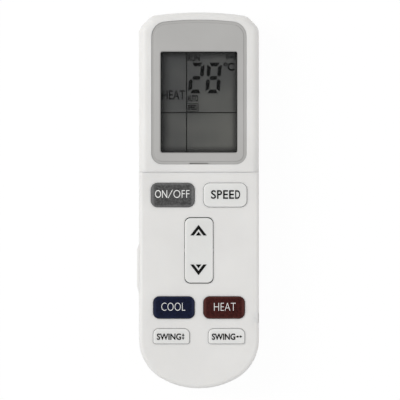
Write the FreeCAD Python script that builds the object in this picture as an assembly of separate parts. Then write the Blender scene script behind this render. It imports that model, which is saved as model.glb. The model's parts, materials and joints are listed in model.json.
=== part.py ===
import FreeCAD, Part

import math
import os

from FreeCAD import Vector

# Handheld remote control of an air conditioner, lying on its back.
# X runs across the keys, Y towards the end that sends the signal, Z out of the front.
# The origin is the middle of the flat back. Sizes are in millimetres, angles in degrees.

# Keys that stand through the flip cover
POWER_KEY_WIDTH = 17.2
POWER_KEY_HEIGHT = 9.5
POWER_KEY_SPACING = 3.6
POWER_KEY_CORNER = 2.6
ROCKER_WIDTH = 11.2
ROCKER_LENGTH = 25.7
ROCKER_CORNER = 2.3
MODE_KEY_WIDTH = 16.35
MODE_KEY_HEIGHT = 8.7
MODE_KEY_SPACING = 3.55
MODE_KEY_CORNER = 2.4
SWING_KEY_WIDTH = 14.4
SWING_KEY_HEIGHT = 6.0
SWING_KEY_SPACING = 7.5
SWING_KEY_TOP_CORNER = 2.2
SWING_KEY_BOTTOM_CORNER = 1.0
KEY_SIDE_MARGIN = 4.85
SEAM_TO_POWER = 4.33
POWER_TO_ROCKER = 4.37
ROCKER_TO_MODE = 5.46
MODE_TO_SWING = 4.04
SWING_TO_END = 17.75
KEY_PROUD = 0.7
KEY_TRAVEL = 0.8
KEY_TOP_ROUND = 0.5
KEY_DECK_GAP = 0.25
KEY_COVER_GAP = 0.13
ROCKER_SIDE_GAP = 0.17
ROCKER_END_GAP = 0.33
KEY_FLANGE_REACH = 0.6
KEY_FLANGE_THICKNESS = 0.7
KEY_FLANGE_GAP = 0.1

# Secondary keys under the flip cover
SMALL_KEY_WIDTH = 10.0
SMALL_KEY_HEIGHT = 5.2
SMALL_KEY_CORNER = 1.6
SMALL_KEY_PITCH = 9.4
SMALL_KEY_PROUD = 0.7
SMALL_KEY_TOP_ROUND = 0.35

# Rocker bearings and contact pills
TRUNNION_RADIUS = 0.7
TRUNNION_REACH = 1.2
TRUNNION_DROP = 0.2
TRUNNION_END_GAP = 0.2
PILL_RADIUS = 1.8
PILL_THICKNESS = 0.25
PILL_CLEARANCE = 0.05
ROCKER_PILL_INSET = 3.6

# Display section
WINDOW_WIDTH = 30.5
WINDOW_LENGTH = 40.1
WINDOW_CORNER = 0.8
WINDOW_CHAMFER = 0.35
BEZEL_SIDE = 3.6
BEZEL_HEAD = 12.6
BEZEL_FOOT = 4.6
BEZEL_TOP_MARGIN = 3.1
BEZEL_TO_SEAM = 3.15
BEZEL_TOP_CORNER = 5.8
BEZEL_BOTTOM_CORNER = 4.2
BEZEL_CROWN_RADIUS = 123.0
BEZEL_RECESS = 0.1
BEZEL_THICKNESS = 1.9
BEZEL_EDGE_ROUND = 0.25
BEZEL_RIM_WIDTH = 1.1
BEZEL_RIM_DROP = 0.3
BEZEL_FIT = 0.06
PRY_SLOT_WIDTH = 7.4
PRY_SLOT_REACH = 0.55
PRY_SLOT_DEPTH = 1.1
LENS_THICKNESS = 1.3
LENS_LAND = 1.1
GLASS_SIDE_LAND = 1.75
GLASS_END_LAND = 2.45
GLASS_THICKNESS = 1.8
GLASS_GAP = 0.1
GLASS_SIDE_FIT = 0.2
REFLECTOR_THICKNESS = 0.15
STRIP_WIDTH = 2.0
STRIP_END_INSET = 1.0
HOLDER_WALL = 1.2
HOLDER_HEAD_GAP = 0.2

# Body form
END_SIDE_RADIUS = 18.0
END_CROWN_RADIUS = 30.0
TOP_CROWN_RADIUS = 125.0
CORNER_CUT = 6.25
CORNER_UPPER_RADIUS = 4.0
CORNER_LOWER_RADIUS = 5.0
CORNER_FACE_ANGLE = 45.0
FRONT_EDGE_RADIUS = 3.0
BACK_EDGE_RADIUS = 4.0
CASE_WALL = 1.8
BACK_WALL = 1.6
BACK_SHELL_HEIGHT = 9.8
LIP_WALL = 0.8
LIP_HEIGHT = 1.5
DECK_THICKNESS = 1.2
TRAY_DEPTH = 1.0
TRAY_WALL = 1.5

# Flip cover and its hinge
COVER_THICKNESS = 1.4
COVER_GAP = 0.2
COVER_EDGE_RADIUS = 1.6
SEAM_GAP = 0.07
HINGE_CLEARANCE = 0.3
BEAD_STEP = 0.1
HINGE_RIB_WALL = 1.1
HINGE_OPENING = 100.0
PIN_RADIUS = 0.5
PIN_REACH = 1.4
KNUCKLE_RADIUS = 0.95
KNUCKLE_LENGTH = 3.0
KNUCKLE_GAP = 0.3
KNUCKLE_FOOT_WIDTH = 1.2
KNUCKLE_FOOT_GAP = 0.25
KNUCKLE_END_DISTANCE = 26.5
TAB_LENGTH = 19.9
TAB_REACH = 0.8
TAB_UPPER_SLOPE = 2.2
TAB_LOWER_SLOPE = 3.0
TAB_DROP = 0.75
TAB_ROOT = 1.2
TAB_TO_SEAM = 28.45

# Circuit board and what stands on it
BOARD_THICKNESS = 1.0
BOARD_GAP = 0.2
BOARD_INSET = 2.8
BOARD_TOP_MARGIN = 5.5
BOARD_END_MARGIN = 5.0
MAT_THICKNESS = 0.8
MAT_INSET = 3.4
MAT_SEAM_GAP = 2.2
MAT_GAP = 0.4
CHIP_RADIUS = 5.0
CHIP_HEIGHT = 0.9
CHIP_ROUND = 0.6
CRYSTAL_WIDTH = 4.6
CRYSTAL_LENGTH = 11.0
CRYSTAL_HEIGHT = 3.5
CRYSTAL_ROUND = 1.4
CAPACITOR_RADIUS = 2.5
CAPACITOR_LENGTH = 10.0
CAPACITOR_ROUND = 0.5
SMALL_CHIP_WIDTH = 0.8
SMALL_CHIP_LENGTH = 1.6
SMALL_CHIP_HEIGHT = 0.5
SMALL_CHIP_COUNT = 5
SMALL_CHIP_PITCH = 3.0
LAMP_RADIUS = 1.5
LAMP_LENGTH = 5.3
LAMP_FLANGE_RADIUS = 1.95
LAMP_FLANGE_LENGTH = 1.0
LAMP_LEAD_WIDTH = 0.5
LAMP_LEAD_SPACING = 2.0
LAMP_LEAD_LAP = 2.4
LAMP_GAP = 0.4
LAMP_NOTCH_GAP = 0.5
SIGNAL_WINDOW_WIDTH = 14.0
SIGNAL_WINDOW_HEIGHT = 3.4
SIGNAL_FLANGE_REACH = 0.6
SIGNAL_FLANGE_THICKNESS = 0.8

# Screws
BOARD_SCREW_RADIUS = 0.9
BOARD_SCREW_HEAD_RADIUS = 1.8
BOARD_SCREW_HEAD_HEIGHT = 1.0
BOARD_SCREW_GRIP = 1.8
BOARD_BOSS_RADIUS = 2.0
BOARD_BOSS_WALL_GAP = 0.75
BOARD_BOSS_SEAM_RISE = 1.0
BOARD_BOSS_TOP_INSET = 3.4
BOARD_BOSS_TOP_SIDE = 6.4
BOARD_BOSS_END_SIDE = 11.0
CASE_SCREW_RADIUS = 1.1
CASE_SCREW_HEAD_RADIUS = 2.0
CASE_SCREW_HEAD_HEIGHT = 1.2
CASE_SCREW_GRIP = 6.0
CASE_BOSS_RADIUS = 2.4
CASE_SCREW_END_MARGIN = 9.2
SCREW_TIP_GAP = 0.2
SCREW_HOLE_GAP = 0.3
SOCKET_WIDTH = 0.45
SOCKET_DEPTH_SHARE = 0.55
SOCKET_LENGTH_SHARE = 1.3

# Battery bay, cells and contacts
CELL_DIAMETER = 10.5
CELL_LENGTH = 44.5
CELL_NUB_RADIUS = 1.9
CELL_NUB_LENGTH = 1.0
CELL_EDGE_ROUND = 0.5
CELL_SPACING = 0.6
CELL_CLEARANCE = 0.2
CELL_SIDE_GAP = 0.6
BAY_ROOF = 1.0
BAY_WALL = 1.2
BAY_END_MARGIN = 16.5
CONTACT_THICKNESS = 0.4
CONTACT_SIZE = 8.0
TAIL_WIDTH = 2.0
SPRING_SPACE = 4.6
SPRING_WIRE_RADIUS = 0.25
SPRING_BASE_RADIUS = 3.4
SPRING_TIP_RADIUS = 2.2
SPRING_TURNS = 4
SPRING_END_GAP = 0.04

# Battery door
BATTERY_DOOR_HALF_WIDTH = 14.0
BATTERY_DOOR_THICKNESS = 1.5
BATTERY_DOOR_LAP = 2.4
BATTERY_DOOR_GAP = 0.15
RAIL_REACH = 1.1
RAIL_WIDTH = 2.4
RAIL_THICKNESS = 0.9
RAIL_GAP = 0.1
DOOR_END_LAND = 4.5
PLATFORM_THICKNESS = 2.6
RAIL_ROOF = 1.2
GRIP_GROOVE_LENGTH = 12.0
GRIP_GROOVE_WIDTH = 0.9
GRIP_GROOVE_DEPTH = 0.5
GRIP_GROOVE_PITCH = 2.0
GRIP_GROOVES = 4
GRIP_TO_DOOR_TOP = 6.0
ARROW_WIDTH = 7.0
ARROW_LENGTH = 4.5
ARROW_DEPTH = 0.4
ARROW_TO_GRIP = 3.0

# Fits, and the overrun and tolerance of the modelling itself
FIT_GAP = 0.1
RUNNING_FIT = 0.05
CUT_OVERRUN = 1.0
SAME_PLACE = 0.001

# Heights, stacked from the back to the front
CELL_Z = BATTERY_DOOR_THICKNESS + CELL_CLEARANCE + CELL_DIAMETER / 2
BAY_CEILING = CELL_Z + CELL_DIAMETER / 2 + CELL_CLEARANCE
BOARD_BOTTOM = BAY_CEILING + BAY_ROOF + BOARD_GAP
BOARD_TOP = BOARD_BOTTOM + BOARD_THICKNESS
PILL_BOTTOM = BOARD_TOP + PILL_CLEARANCE + KEY_TRAVEL
KEY_BOTTOM = PILL_BOTTOM + PILL_THICKNESS
FLANGE_TOP = KEY_BOTTOM + KEY_FLANGE_THICKNESS
DECK_BOTTOM = FLANGE_TOP + KEY_FLANGE_GAP
DECK_TOP = DECK_BOTTOM + DECK_THICKNESS
RIM_Z = DECK_TOP + TRAY_DEPTH
COVER_BOTTOM = RIM_Z + COVER_GAP
FRONT_Z = COVER_BOTTOM + COVER_THICKNESS
KEY_TOP = FRONT_Z + KEY_PROUD
TRUNNION_Z = DECK_BOTTOM - TRUNNION_DROP
BEZEL_TOP = FRONT_Z - BEZEL_RECESS
BEZEL_SEAT = BEZEL_TOP - BEZEL_THICKNESS
GLASS_TOP = BEZEL_SEAT - GLASS_GAP
GLASS_BOTTOM = GLASS_TOP - GLASS_THICKNESS
RAIL_BOTTOM = BATTERY_DOOR_THICKNESS
RAIL_TOP = RAIL_BOTTOM + RAIL_GAP + RAIL_THICKNESS
CHANNEL_TOP = RAIL_TOP + RAIL_GAP
PLATFORM_TOP = CHANNEL_TOP + PLATFORM_THICKNESS

# Lengths, stacked from the top end to the bottom end
DISPLAY_LENGTH = BEZEL_TOP_MARGIN + BEZEL_HEAD + WINDOW_LENGTH + BEZEL_FOOT + BEZEL_TO_SEAM
KEY_FIELD_LENGTH = (SEAM_TO_POWER + POWER_KEY_HEIGHT + POWER_TO_ROCKER + ROCKER_LENGTH + ROCKER_TO_MODE
                    + MODE_KEY_HEIGHT + MODE_TO_SWING + SWING_KEY_HEIGHT + SWING_TO_END)
TOP_Y = (DISPLAY_LENGTH + KEY_FIELD_LENGTH) / 2
BOTTOM_Y = -TOP_Y
BEZEL_TOP_Y = TOP_Y - BEZEL_TOP_MARGIN
WINDOW_TOP_Y = BEZEL_TOP_Y - BEZEL_HEAD
WINDOW_BOTTOM_Y = WINDOW_TOP_Y - WINDOW_LENGTH
WINDOW_Y = (WINDOW_TOP_Y + WINDOW_BOTTOM_Y) / 2
BEZEL_BOTTOM_Y = WINDOW_BOTTOM_Y - BEZEL_FOOT
SEAM_Y = BEZEL_BOTTOM_Y - BEZEL_TO_SEAM
POWER_Y = SEAM_Y - SEAM_TO_POWER - POWER_KEY_HEIGHT / 2
ROCKER_Y = POWER_Y - POWER_KEY_HEIGHT / 2 - POWER_TO_ROCKER - ROCKER_LENGTH / 2
MODE_Y = ROCKER_Y - ROCKER_LENGTH / 2 - ROCKER_TO_MODE - MODE_KEY_HEIGHT / 2
SWING_Y = MODE_Y - MODE_KEY_HEIGHT / 2 - MODE_TO_SWING - SWING_KEY_HEIGHT / 2

# Widths and places across the body
POWER_X = (POWER_KEY_SPACING + POWER_KEY_WIDTH) / 2
MODE_X = (MODE_KEY_SPACING + MODE_KEY_WIDTH) / 2
SWING_X = (SWING_KEY_SPACING + SWING_KEY_WIDTH) / 2
HALF_WIDTH = POWER_KEY_SPACING / 2 + POWER_KEY_WIDTH + KEY_SIDE_MARGIN
BEZEL_WIDTH = WINDOW_WIDTH + 2 * BEZEL_SIDE
GLASS_WIDTH = WINDOW_WIDTH + 2 * GLASS_SIDE_LAND
GLASS_LENGTH = WINDOW_LENGTH + 2 * GLASS_END_LAND
STRIP_Y = GLASS_LENGTH / 2 - STRIP_END_INSET - STRIP_WIDTH / 2

# Flip cover hinge: its axis runs along Y, inside the rounded right edge
HINGE_X = HALF_WIDTH - COVER_EDGE_RADIUS
HINGE_Z = FRONT_Z - COVER_EDGE_RADIUS
TROUGH_RADIUS = COVER_EDGE_RADIUS + HINGE_CLEARANCE
SMALL_KEY_X = (ROCKER_WIDTH / 2 + HINGE_X - TROUGH_RADIUS) / 2
END_SIDE_X = HALF_WIDTH - END_SIDE_RADIUS
END_CROWN_Y = BOTTOM_Y + END_CROWN_RADIUS
END_SIDE_Y = END_CROWN_Y - math.sqrt((END_CROWN_RADIUS - END_SIDE_RADIUS) ** 2 - END_SIDE_X ** 2)
BEAD_Y = END_SIDE_Y - math.sqrt(END_SIDE_RADIUS ** 2 - (HINGE_X - END_SIDE_X) ** 2)
TROUGH_Y = BEAD_Y - HINGE_CLEARANCE
KNUCKLE_Y0 = BOTTOM_Y + KNUCKLE_END_DISTANCE
KNUCKLE_Y1 = KNUCKLE_Y0 + KNUCKLE_LENGTH
COVER_TOP_Y = SEAM_Y - SEAM_GAP

# Battery bay
CELL_X = (CELL_DIAMETER + CELL_SPACING) / 2
BAY_HALF_WIDTH = CELL_X + CELL_DIAMETER / 2 + CELL_SIDE_GAP
BAY_Y0 = BOTTOM_Y + BAY_END_MARGIN
BAY_Y1 = BAY_Y0 + 2 * CONTACT_THICKNESS + CELL_LENGTH + SPRING_SPACE
BATTERY_DOOR_Y = BAY_Y1 + BATTERY_DOOR_LAP
CHANNEL_HALF_WIDTH = BATTERY_DOOR_HALF_WIDTH + RAIL_REACH

# Screw places
CASE_SCREW_Y = BOTTOM_Y + CASE_SCREW_END_MARGIN
BOARD_BOSS_SIDE_X = HALF_WIDTH - CASE_WALL - BOARD_BOSS_WALL_GAP - BOARD_BOSS_RADIUS
BOARD_TOP_Y = TOP_Y - BOARD_TOP_MARGIN
LOWER_BOSS_Y = BAY_Y0 - BAY_WALL - BOARD_SCREW_HEAD_RADIUS - BOARD_BOSS_WALL_GAP
BOARD_BOSSES = [(side * x, y)
                for x, y in ((BOARD_BOSS_SIDE_X, SEAM_Y + BOARD_BOSS_SEAM_RISE),
                             (HALF_WIDTH - BOARD_BOSS_TOP_SIDE, BOARD_TOP_Y - BOARD_BOSS_TOP_INSET),
                             (BOARD_BOSS_END_SIDE, LOWER_BOSS_Y))
                for side in (-1, 1)]
PILOT_TOP = BOARD_TOP + BOARD_SCREW_GRIP + SCREW_TIP_GAP
CASE_SCREW_SEAT = CHANNEL_TOP + CASE_SCREW_HEAD_HEIGHT + SCREW_TIP_GAP

# Infrared lamp, in the plane of the board
LAMP_Z = (BOARD_TOP + BOARD_BOTTOM) / 2
SIGNAL_INNER_Y = TOP_Y - CASE_WALL - RUNNING_FIT - SIGNAL_FLANGE_THICKNESS
LAMP_TIP_Y = SIGNAL_INNER_Y - LAMP_GAP
LAMP_BASE_Y = LAMP_TIP_Y - LAMP_LENGTH

# Keys that stand through the cover: middle, width, height, top and bottom corner radius
MAIN_KEYS = {
    "power_key": (-POWER_X, POWER_Y, POWER_KEY_WIDTH, POWER_KEY_HEIGHT, POWER_KEY_CORNER, POWER_KEY_CORNER),
    "fan_speed_key": (POWER_X, POWER_Y, POWER_KEY_WIDTH, POWER_KEY_HEIGHT,
                      POWER_KEY_CORNER, POWER_KEY_CORNER),
    "cool_key": (-MODE_X, MODE_Y, MODE_KEY_WIDTH, MODE_KEY_HEIGHT, MODE_KEY_CORNER, MODE_KEY_CORNER),
    "heat_key": (MODE_X, MODE_Y, MODE_KEY_WIDTH, MODE_KEY_HEIGHT, MODE_KEY_CORNER, MODE_KEY_CORNER),
    "swing_up_down_key": (-SWING_X, SWING_Y, SWING_KEY_WIDTH, SWING_KEY_HEIGHT,
                          SWING_KEY_TOP_CORNER, SWING_KEY_BOTTOM_CORNER),
    "swing_left_right_key": (SWING_X, SWING_Y, SWING_KEY_WIDTH, SWING_KEY_HEIGHT,
                             SWING_KEY_TOP_CORNER, SWING_KEY_BOTTOM_CORNER),
}
ROCKER = (0, ROCKER_Y, ROCKER_WIDTH, ROCKER_LENGTH, ROCKER_CORNER, ROCKER_CORNER)
ROCKER_HOLE = (0, ROCKER_Y, ROCKER_WIDTH + 2 * ROCKER_SIDE_GAP, ROCKER_LENGTH + 2 * ROCKER_END_GAP,
               ROCKER_CORNER, ROCKER_CORNER)

# Secondary keys: two columns of three beside the rocker
SMALL_KEY_NAMES = (("mode_key", "timer_key", "sleep_key"), ("clock_key", "light_key", "boost_key"))
SMALL_KEYS = {
    name: (side * SMALL_KEY_X, ROCKER_Y + (1 - row) * SMALL_KEY_PITCH, SMALL_KEY_WIDTH, SMALL_KEY_HEIGHT,
           SMALL_KEY_CORNER, SMALL_KEY_CORNER)
    for side, names in zip((-1, 1), SMALL_KEY_NAMES)
    for row, name in enumerate(names)
}


def polar(cx, cy, radius, angle):
    """Point on a circle in the XY plane."""
    turn = math.radians(angle)
    return Vector(cx + radius * math.cos(turn), cy + radius * math.sin(turn), 0)


def outline(arcs):
    """Closed wire of arcs, listed anticlockwise as centre, radius and angles, joined by straight lines."""
    edges = []
    ends = [(polar(*arc[:3], arc[3]), polar(*arc[:3], arc[4])) for arc in arcs]
    for place, arc in enumerate(arcs):
        start, end = ends[place]
        before = ends[place - 1][1]
        if (start - before).Length > SAME_PLACE:
            edges.append(Part.LineSegment(before, start).toShape())
        middle = polar(*arc[:3], (arc[3] + arc[4]) / 2)
        edges.append(Part.Arc(start, middle, end).toShape())
    return Part.Wire(edges)


def prism(arcs, bottom, top):
    """Straight solid on an outline, between two heights."""
    face = Part.Face(outline(arcs))
    face.translate(Vector(0, 0, bottom))
    return face.extrude(Vector(0, 0, top - bottom))


def box(x0, x1, y0, y1, z0, z1):
    """Box between two corners."""
    return Part.makeBox(x1 - x0, y1 - y0, z1 - z0, Vector(x0, y0, z0))


def rod_y(x, z, radius, y0, y1):
    """Cylinder along Y."""
    return Part.makeCylinder(radius, y1 - y0, Vector(x, y0, z), Vector(0, 1, 0))


def rod_z(x, y, radius, z0, z1):
    """Cylinder along Z."""
    return Part.makeCylinder(radius, z1 - z0, Vector(x, y, z0))


def union(first, *others):
    """One solid out of several, with its split faces joined again."""
    return first.multiFuse(list(others)).removeSplitter()


def edges_at(solid, height):
    """Edges that lie flat at a height."""
    return [edge for edge in solid.Edges
            if abs(edge.BoundBox.ZMin - height) < SAME_PLACE
            and abs(edge.BoundBox.ZMax - height) < SAME_PLACE]


def rounded(solid, radius, height):
    """The solid with its edges at a height rounded."""
    return solid.makeFillet(radius, edges_at(solid, height))


def panel_arcs(x, y, width, height, top_corner, bottom_corner, grow=0):
    """Rectangle with rounded corners, grown all round."""
    right = x + width / 2
    left = x - width / 2
    upper = y + height / 2
    lower = y - height / 2
    return [(right - bottom_corner, lower + bottom_corner, bottom_corner + grow, -90, 0),
            (right - top_corner, upper - top_corner, top_corner + grow, 0, 90),
            (left + top_corner, upper - top_corner, top_corner + grow, 90, 180),
            (left + bottom_corner, lower + bottom_corner, bottom_corner + grow, 180, 270)]


def body_arcs(inset=0):
    """Outline of the body: rounded bottom end, straight sides, slanted top corners and a crowned top."""
    end_turn = math.degrees(math.atan2(END_SIDE_X, END_CROWN_Y - END_SIDE_Y))

    top_y = TOP_Y - TOP_CROWN_RADIUS
    top_turn = math.degrees(math.asin((HALF_WIDTH - CORNER_CUT) / TOP_CROWN_RADIUS))
    upper = polar(0, top_y, TOP_CROWN_RADIUS - CORNER_UPPER_RADIUS, 90 - top_turn)
    facing = polar(0, 0, 1, CORNER_FACE_ANGLE)
    lower_x = HALF_WIDTH - CORNER_LOWER_RADIUS
    reach = facing.dot(upper) + CORNER_UPPER_RADIUS - CORNER_LOWER_RADIUS
    lower_y = (reach - facing.x * lower_x) / facing.y

    return [(0, END_CROWN_Y, END_CROWN_RADIUS - inset, -90 - end_turn, -90 + end_turn),
            (END_SIDE_X, END_SIDE_Y, END_SIDE_RADIUS - inset, -90 + end_turn, 0),
            (lower_x, lower_y, CORNER_LOWER_RADIUS - inset, 0, CORNER_FACE_ANGLE),
            (upper.x, upper.y, CORNER_UPPER_RADIUS - inset, CORNER_FACE_ANGLE, 90 - top_turn),
            (0, top_y, TOP_CROWN_RADIUS - inset, 90 - top_turn, 90 + top_turn),
            (-upper.x, upper.y, CORNER_UPPER_RADIUS - inset, 90 + top_turn, 180 - CORNER_FACE_ANGLE),
            (-lower_x, lower_y, CORNER_LOWER_RADIUS - inset, 180 - CORNER_FACE_ANGLE, 180),
            (-END_SIDE_X, END_SIDE_Y, END_SIDE_RADIUS - inset, 180, 270 - end_turn)]


def bezel_arcs(grow=0):
    """Outline of the display bezel, with its arched top."""
    half = BEZEL_WIDTH / 2
    crown_y = BEZEL_TOP_Y - BEZEL_CROWN_RADIUS
    corner_x = half - BEZEL_TOP_CORNER
    corner_y = crown_y + math.sqrt((BEZEL_CROWN_RADIUS - BEZEL_TOP_CORNER) ** 2 - corner_x ** 2)
    turn = math.degrees(math.atan2(corner_y - crown_y, corner_x))
    foot_x = half - BEZEL_BOTTOM_CORNER
    foot_y = BEZEL_BOTTOM_Y + BEZEL_BOTTOM_CORNER
    return [(foot_x, foot_y, BEZEL_BOTTOM_CORNER + grow, -90, 0),
            (corner_x, corner_y, BEZEL_TOP_CORNER + grow, 0, turn),
            (0, crown_y, BEZEL_CROWN_RADIUS + grow, turn, 180 - turn),
            (-corner_x, corner_y, BEZEL_TOP_CORNER + grow, 180 - turn, 180),
            (-foot_x, foot_y, BEZEL_BOTTOM_CORNER + grow, 180, 270)]


def window_arcs(grow=0):
    """Outline of the display window, grown all round."""
    return panel_arcs(0, WINDOW_Y, WINDOW_WIDTH, WINDOW_LENGTH, WINDOW_CORNER, WINDOW_CORNER, grow)


def body_form(front_edge):
    """Outer form of the whole body, with its back and front edges rounded."""
    solid = rounded(prism(body_arcs(), 0, FRONT_Z), BACK_EDGE_RADIUS, 0)
    return rounded(solid, front_edge, FRONT_Z)


def slab(y0, y1, z0, z1):
    """Block wider than the body, for keeping or cutting a length of it."""
    return box(-HALF_WIDTH - CUT_OVERRUN, HALF_WIDTH + CUT_OVERRUN, y0, y1, z0, z1)


def below_seam(z0, z1):
    """Block over the key field."""
    return slab(BOTTOM_Y - CUT_OVERRUN, SEAM_Y, z0, z1)


def display_opening(bottom, top):
    """Space for the liquid-crystal panel."""
    return box(-GLASS_WIDTH / 2 - GLASS_SIDE_FIT, GLASS_WIDTH / 2 + GLASS_SIDE_FIT,
               WINDOW_Y - GLASS_LENGTH / 2 - GLASS_SIDE_FIT, WINDOW_Y + GLASS_LENGTH / 2 + GLASS_SIDE_FIT,
               bottom, top)


def signal_opening(grow):
    """Space for the infrared window in the top end wall, grown all round."""
    return box(-SIGNAL_WINDOW_WIDTH / 2 - grow, SIGNAL_WINDOW_WIDTH / 2 + grow,
               LAMP_BASE_Y, TOP_Y + CUT_OVERRUN,
               LAMP_Z - SIGNAL_WINDOW_HEIGHT / 2 - grow, LAMP_Z + SIGNAL_WINDOW_HEIGHT / 2 + grow)


def trunnions(radius, reach):
    """Both stub axles of the rocker."""
    return Part.makeCylinder(radius, ROCKER_WIDTH + 2 * reach,
                             Vector(-ROCKER_WIDTH / 2 - reach, ROCKER_Y, TRUNNION_Z), Vector(1, 0, 0))


def front_shell():
    """Display frame, deck with its key holes, hinge trough and bosses."""
    upper = body_form(FRONT_EDGE_RADIUS).common(
        slab(SEAM_Y, TOP_Y + CUT_OVERRUN, BACK_SHELL_HEIGHT, FRONT_Z + CUT_OVERRUN))
    lower = prism(body_arcs(), BACK_SHELL_HEIGHT, RIM_Z).common(
        below_seam(BACK_SHELL_HEIGHT - CUT_OVERRUN, RIM_Z + CUT_OVERRUN))
    inside = prism(body_arcs(CASE_WALL), BACK_SHELL_HEIGHT - CUT_OVERRUN, DECK_BOTTOM)
    rebate = prism(body_arcs(CASE_WALL - LIP_WALL - FIT_GAP), BACK_SHELL_HEIGHT - CUT_OVERRUN,
                   BACK_SHELL_HEIGHT + LIP_HEIGHT + FIT_GAP)
    tray = prism(body_arcs(TRAY_WALL), DECK_TOP, RIM_Z + CUT_OVERRUN).common(
        below_seam(DECK_TOP - CUT_OVERRUN, RIM_Z + CUT_OVERRUN))
    shell = union(upper, lower).cut([inside, rebate, tray])

    rib = prism(body_arcs(), HINGE_Z - TROUGH_RADIUS - HINGE_RIB_WALL, DECK_TOP).common(
        box(HINGE_X - TROUGH_RADIUS, HALF_WIDTH + CUT_OVERRUN, TROUGH_Y - HINGE_RIB_WALL, SEAM_Y,
            BACK_SHELL_HEIGHT, DECK_TOP))
    shell = union(shell, rib)
    shell = shell.cut(rod_y(HINGE_X, HINGE_Z, TROUGH_RADIUS, TROUGH_Y, SEAM_Y))

    knuckle = rod_y(HINGE_X, HINGE_Z, KNUCKLE_RADIUS, KNUCKLE_Y0, KNUCKLE_Y1)
    foot = box(HINGE_X - KNUCKLE_FOOT_WIDTH / 2, HINGE_X + KNUCKLE_FOOT_WIDTH / 2, KNUCKLE_Y0, KNUCKLE_Y1,
               HINGE_Z - TROUGH_RADIUS - HINGE_RIB_WALL, HINGE_Z)
    bosses = [rod_z(x, y, BOARD_BOSS_RADIUS, BOARD_TOP, DECK_BOTTOM + DECK_THICKNESS / 2)
              for x, y in BOARD_BOSSES]
    case_boss = rod_z(0, CASE_SCREW_Y, CASE_BOSS_RADIUS, PLATFORM_TOP + FIT_GAP,
                      DECK_BOTTOM + DECK_THICKNESS / 2)
    shell = union(shell, knuckle, foot, case_boss, *bosses)

    cuts = [prism(bezel_arcs(BEZEL_FIT), BEZEL_SEAT, FRONT_Z + CUT_OVERRUN),
            display_opening(DECK_BOTTOM - CUT_OVERRUN, BEZEL_SEAT + CUT_OVERRUN),
            signal_opening(0),
            trunnions(TRUNNION_RADIUS + RUNNING_FIT, TRUNNION_REACH + TRUNNION_END_GAP),
            rod_y(HINGE_X, HINGE_Z, PIN_RADIUS + RUNNING_FIT,
                  KNUCKLE_Y0 - CUT_OVERRUN, KNUCKLE_Y1 + CUT_OVERRUN),
            rod_y(HINGE_X, HINGE_Z, PIN_RADIUS + RUNNING_FIT,
                  SEAM_Y - CUT_OVERRUN, SEAM_Y + PIN_REACH + FIT_GAP),
            rod_z(0, CASE_SCREW_Y, CASE_SCREW_RADIUS + RUNNING_FIT, PLATFORM_TOP,
                  CASE_SCREW_SEAT + CASE_SCREW_GRIP + SCREW_TIP_GAP)]
    cuts += [prism(panel_arcs(*key, KEY_DECK_GAP), DECK_BOTTOM - CUT_OVERRUN, DECK_TOP + CUT_OVERRUN)
             for key in (*MAIN_KEYS.values(), *SMALL_KEYS.values(), ROCKER)]
    cuts += [rod_z(x, y, BOARD_SCREW_RADIUS + RUNNING_FIT, BOARD_TOP - CUT_OVERRUN, PILOT_TOP)
             for x, y in BOARD_BOSSES]
    return shell.cut(cuts).removeSplitter()


def knuckle_notch():
    """Room in the flip cover for the knuckle, and for its foot as the cover opens."""
    start = KNUCKLE_Y0 - KNUCKLE_GAP
    end = KNUCKLE_Y1 + KNUCKLE_GAP
    bore = rod_y(HINGE_X, HINGE_Z, KNUCKLE_RADIUS + KNUCKLE_GAP, start, end)
    side = KNUCKLE_FOOT_WIDTH / 2 + KNUCKLE_FOOT_GAP
    reach = COVER_EDGE_RADIUS + CUT_OVERRUN
    across = math.cos(math.radians(HINGE_OPENING))
    along = math.sin(math.radians(HINGE_OPENING))
    corners = [(-side, 0), (-side, -reach), (reach, -reach),
               (side * across + reach * along, side * along - reach * across), (side * across, side * along)]
    points = [Vector(HINGE_X + x, start, HINGE_Z + z) for x, z in corners]
    sweep = Part.Face(Part.makePolygon(points + points[:1])).extrude(Vector(0, end - start, 0))
    return bore, sweep


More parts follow.
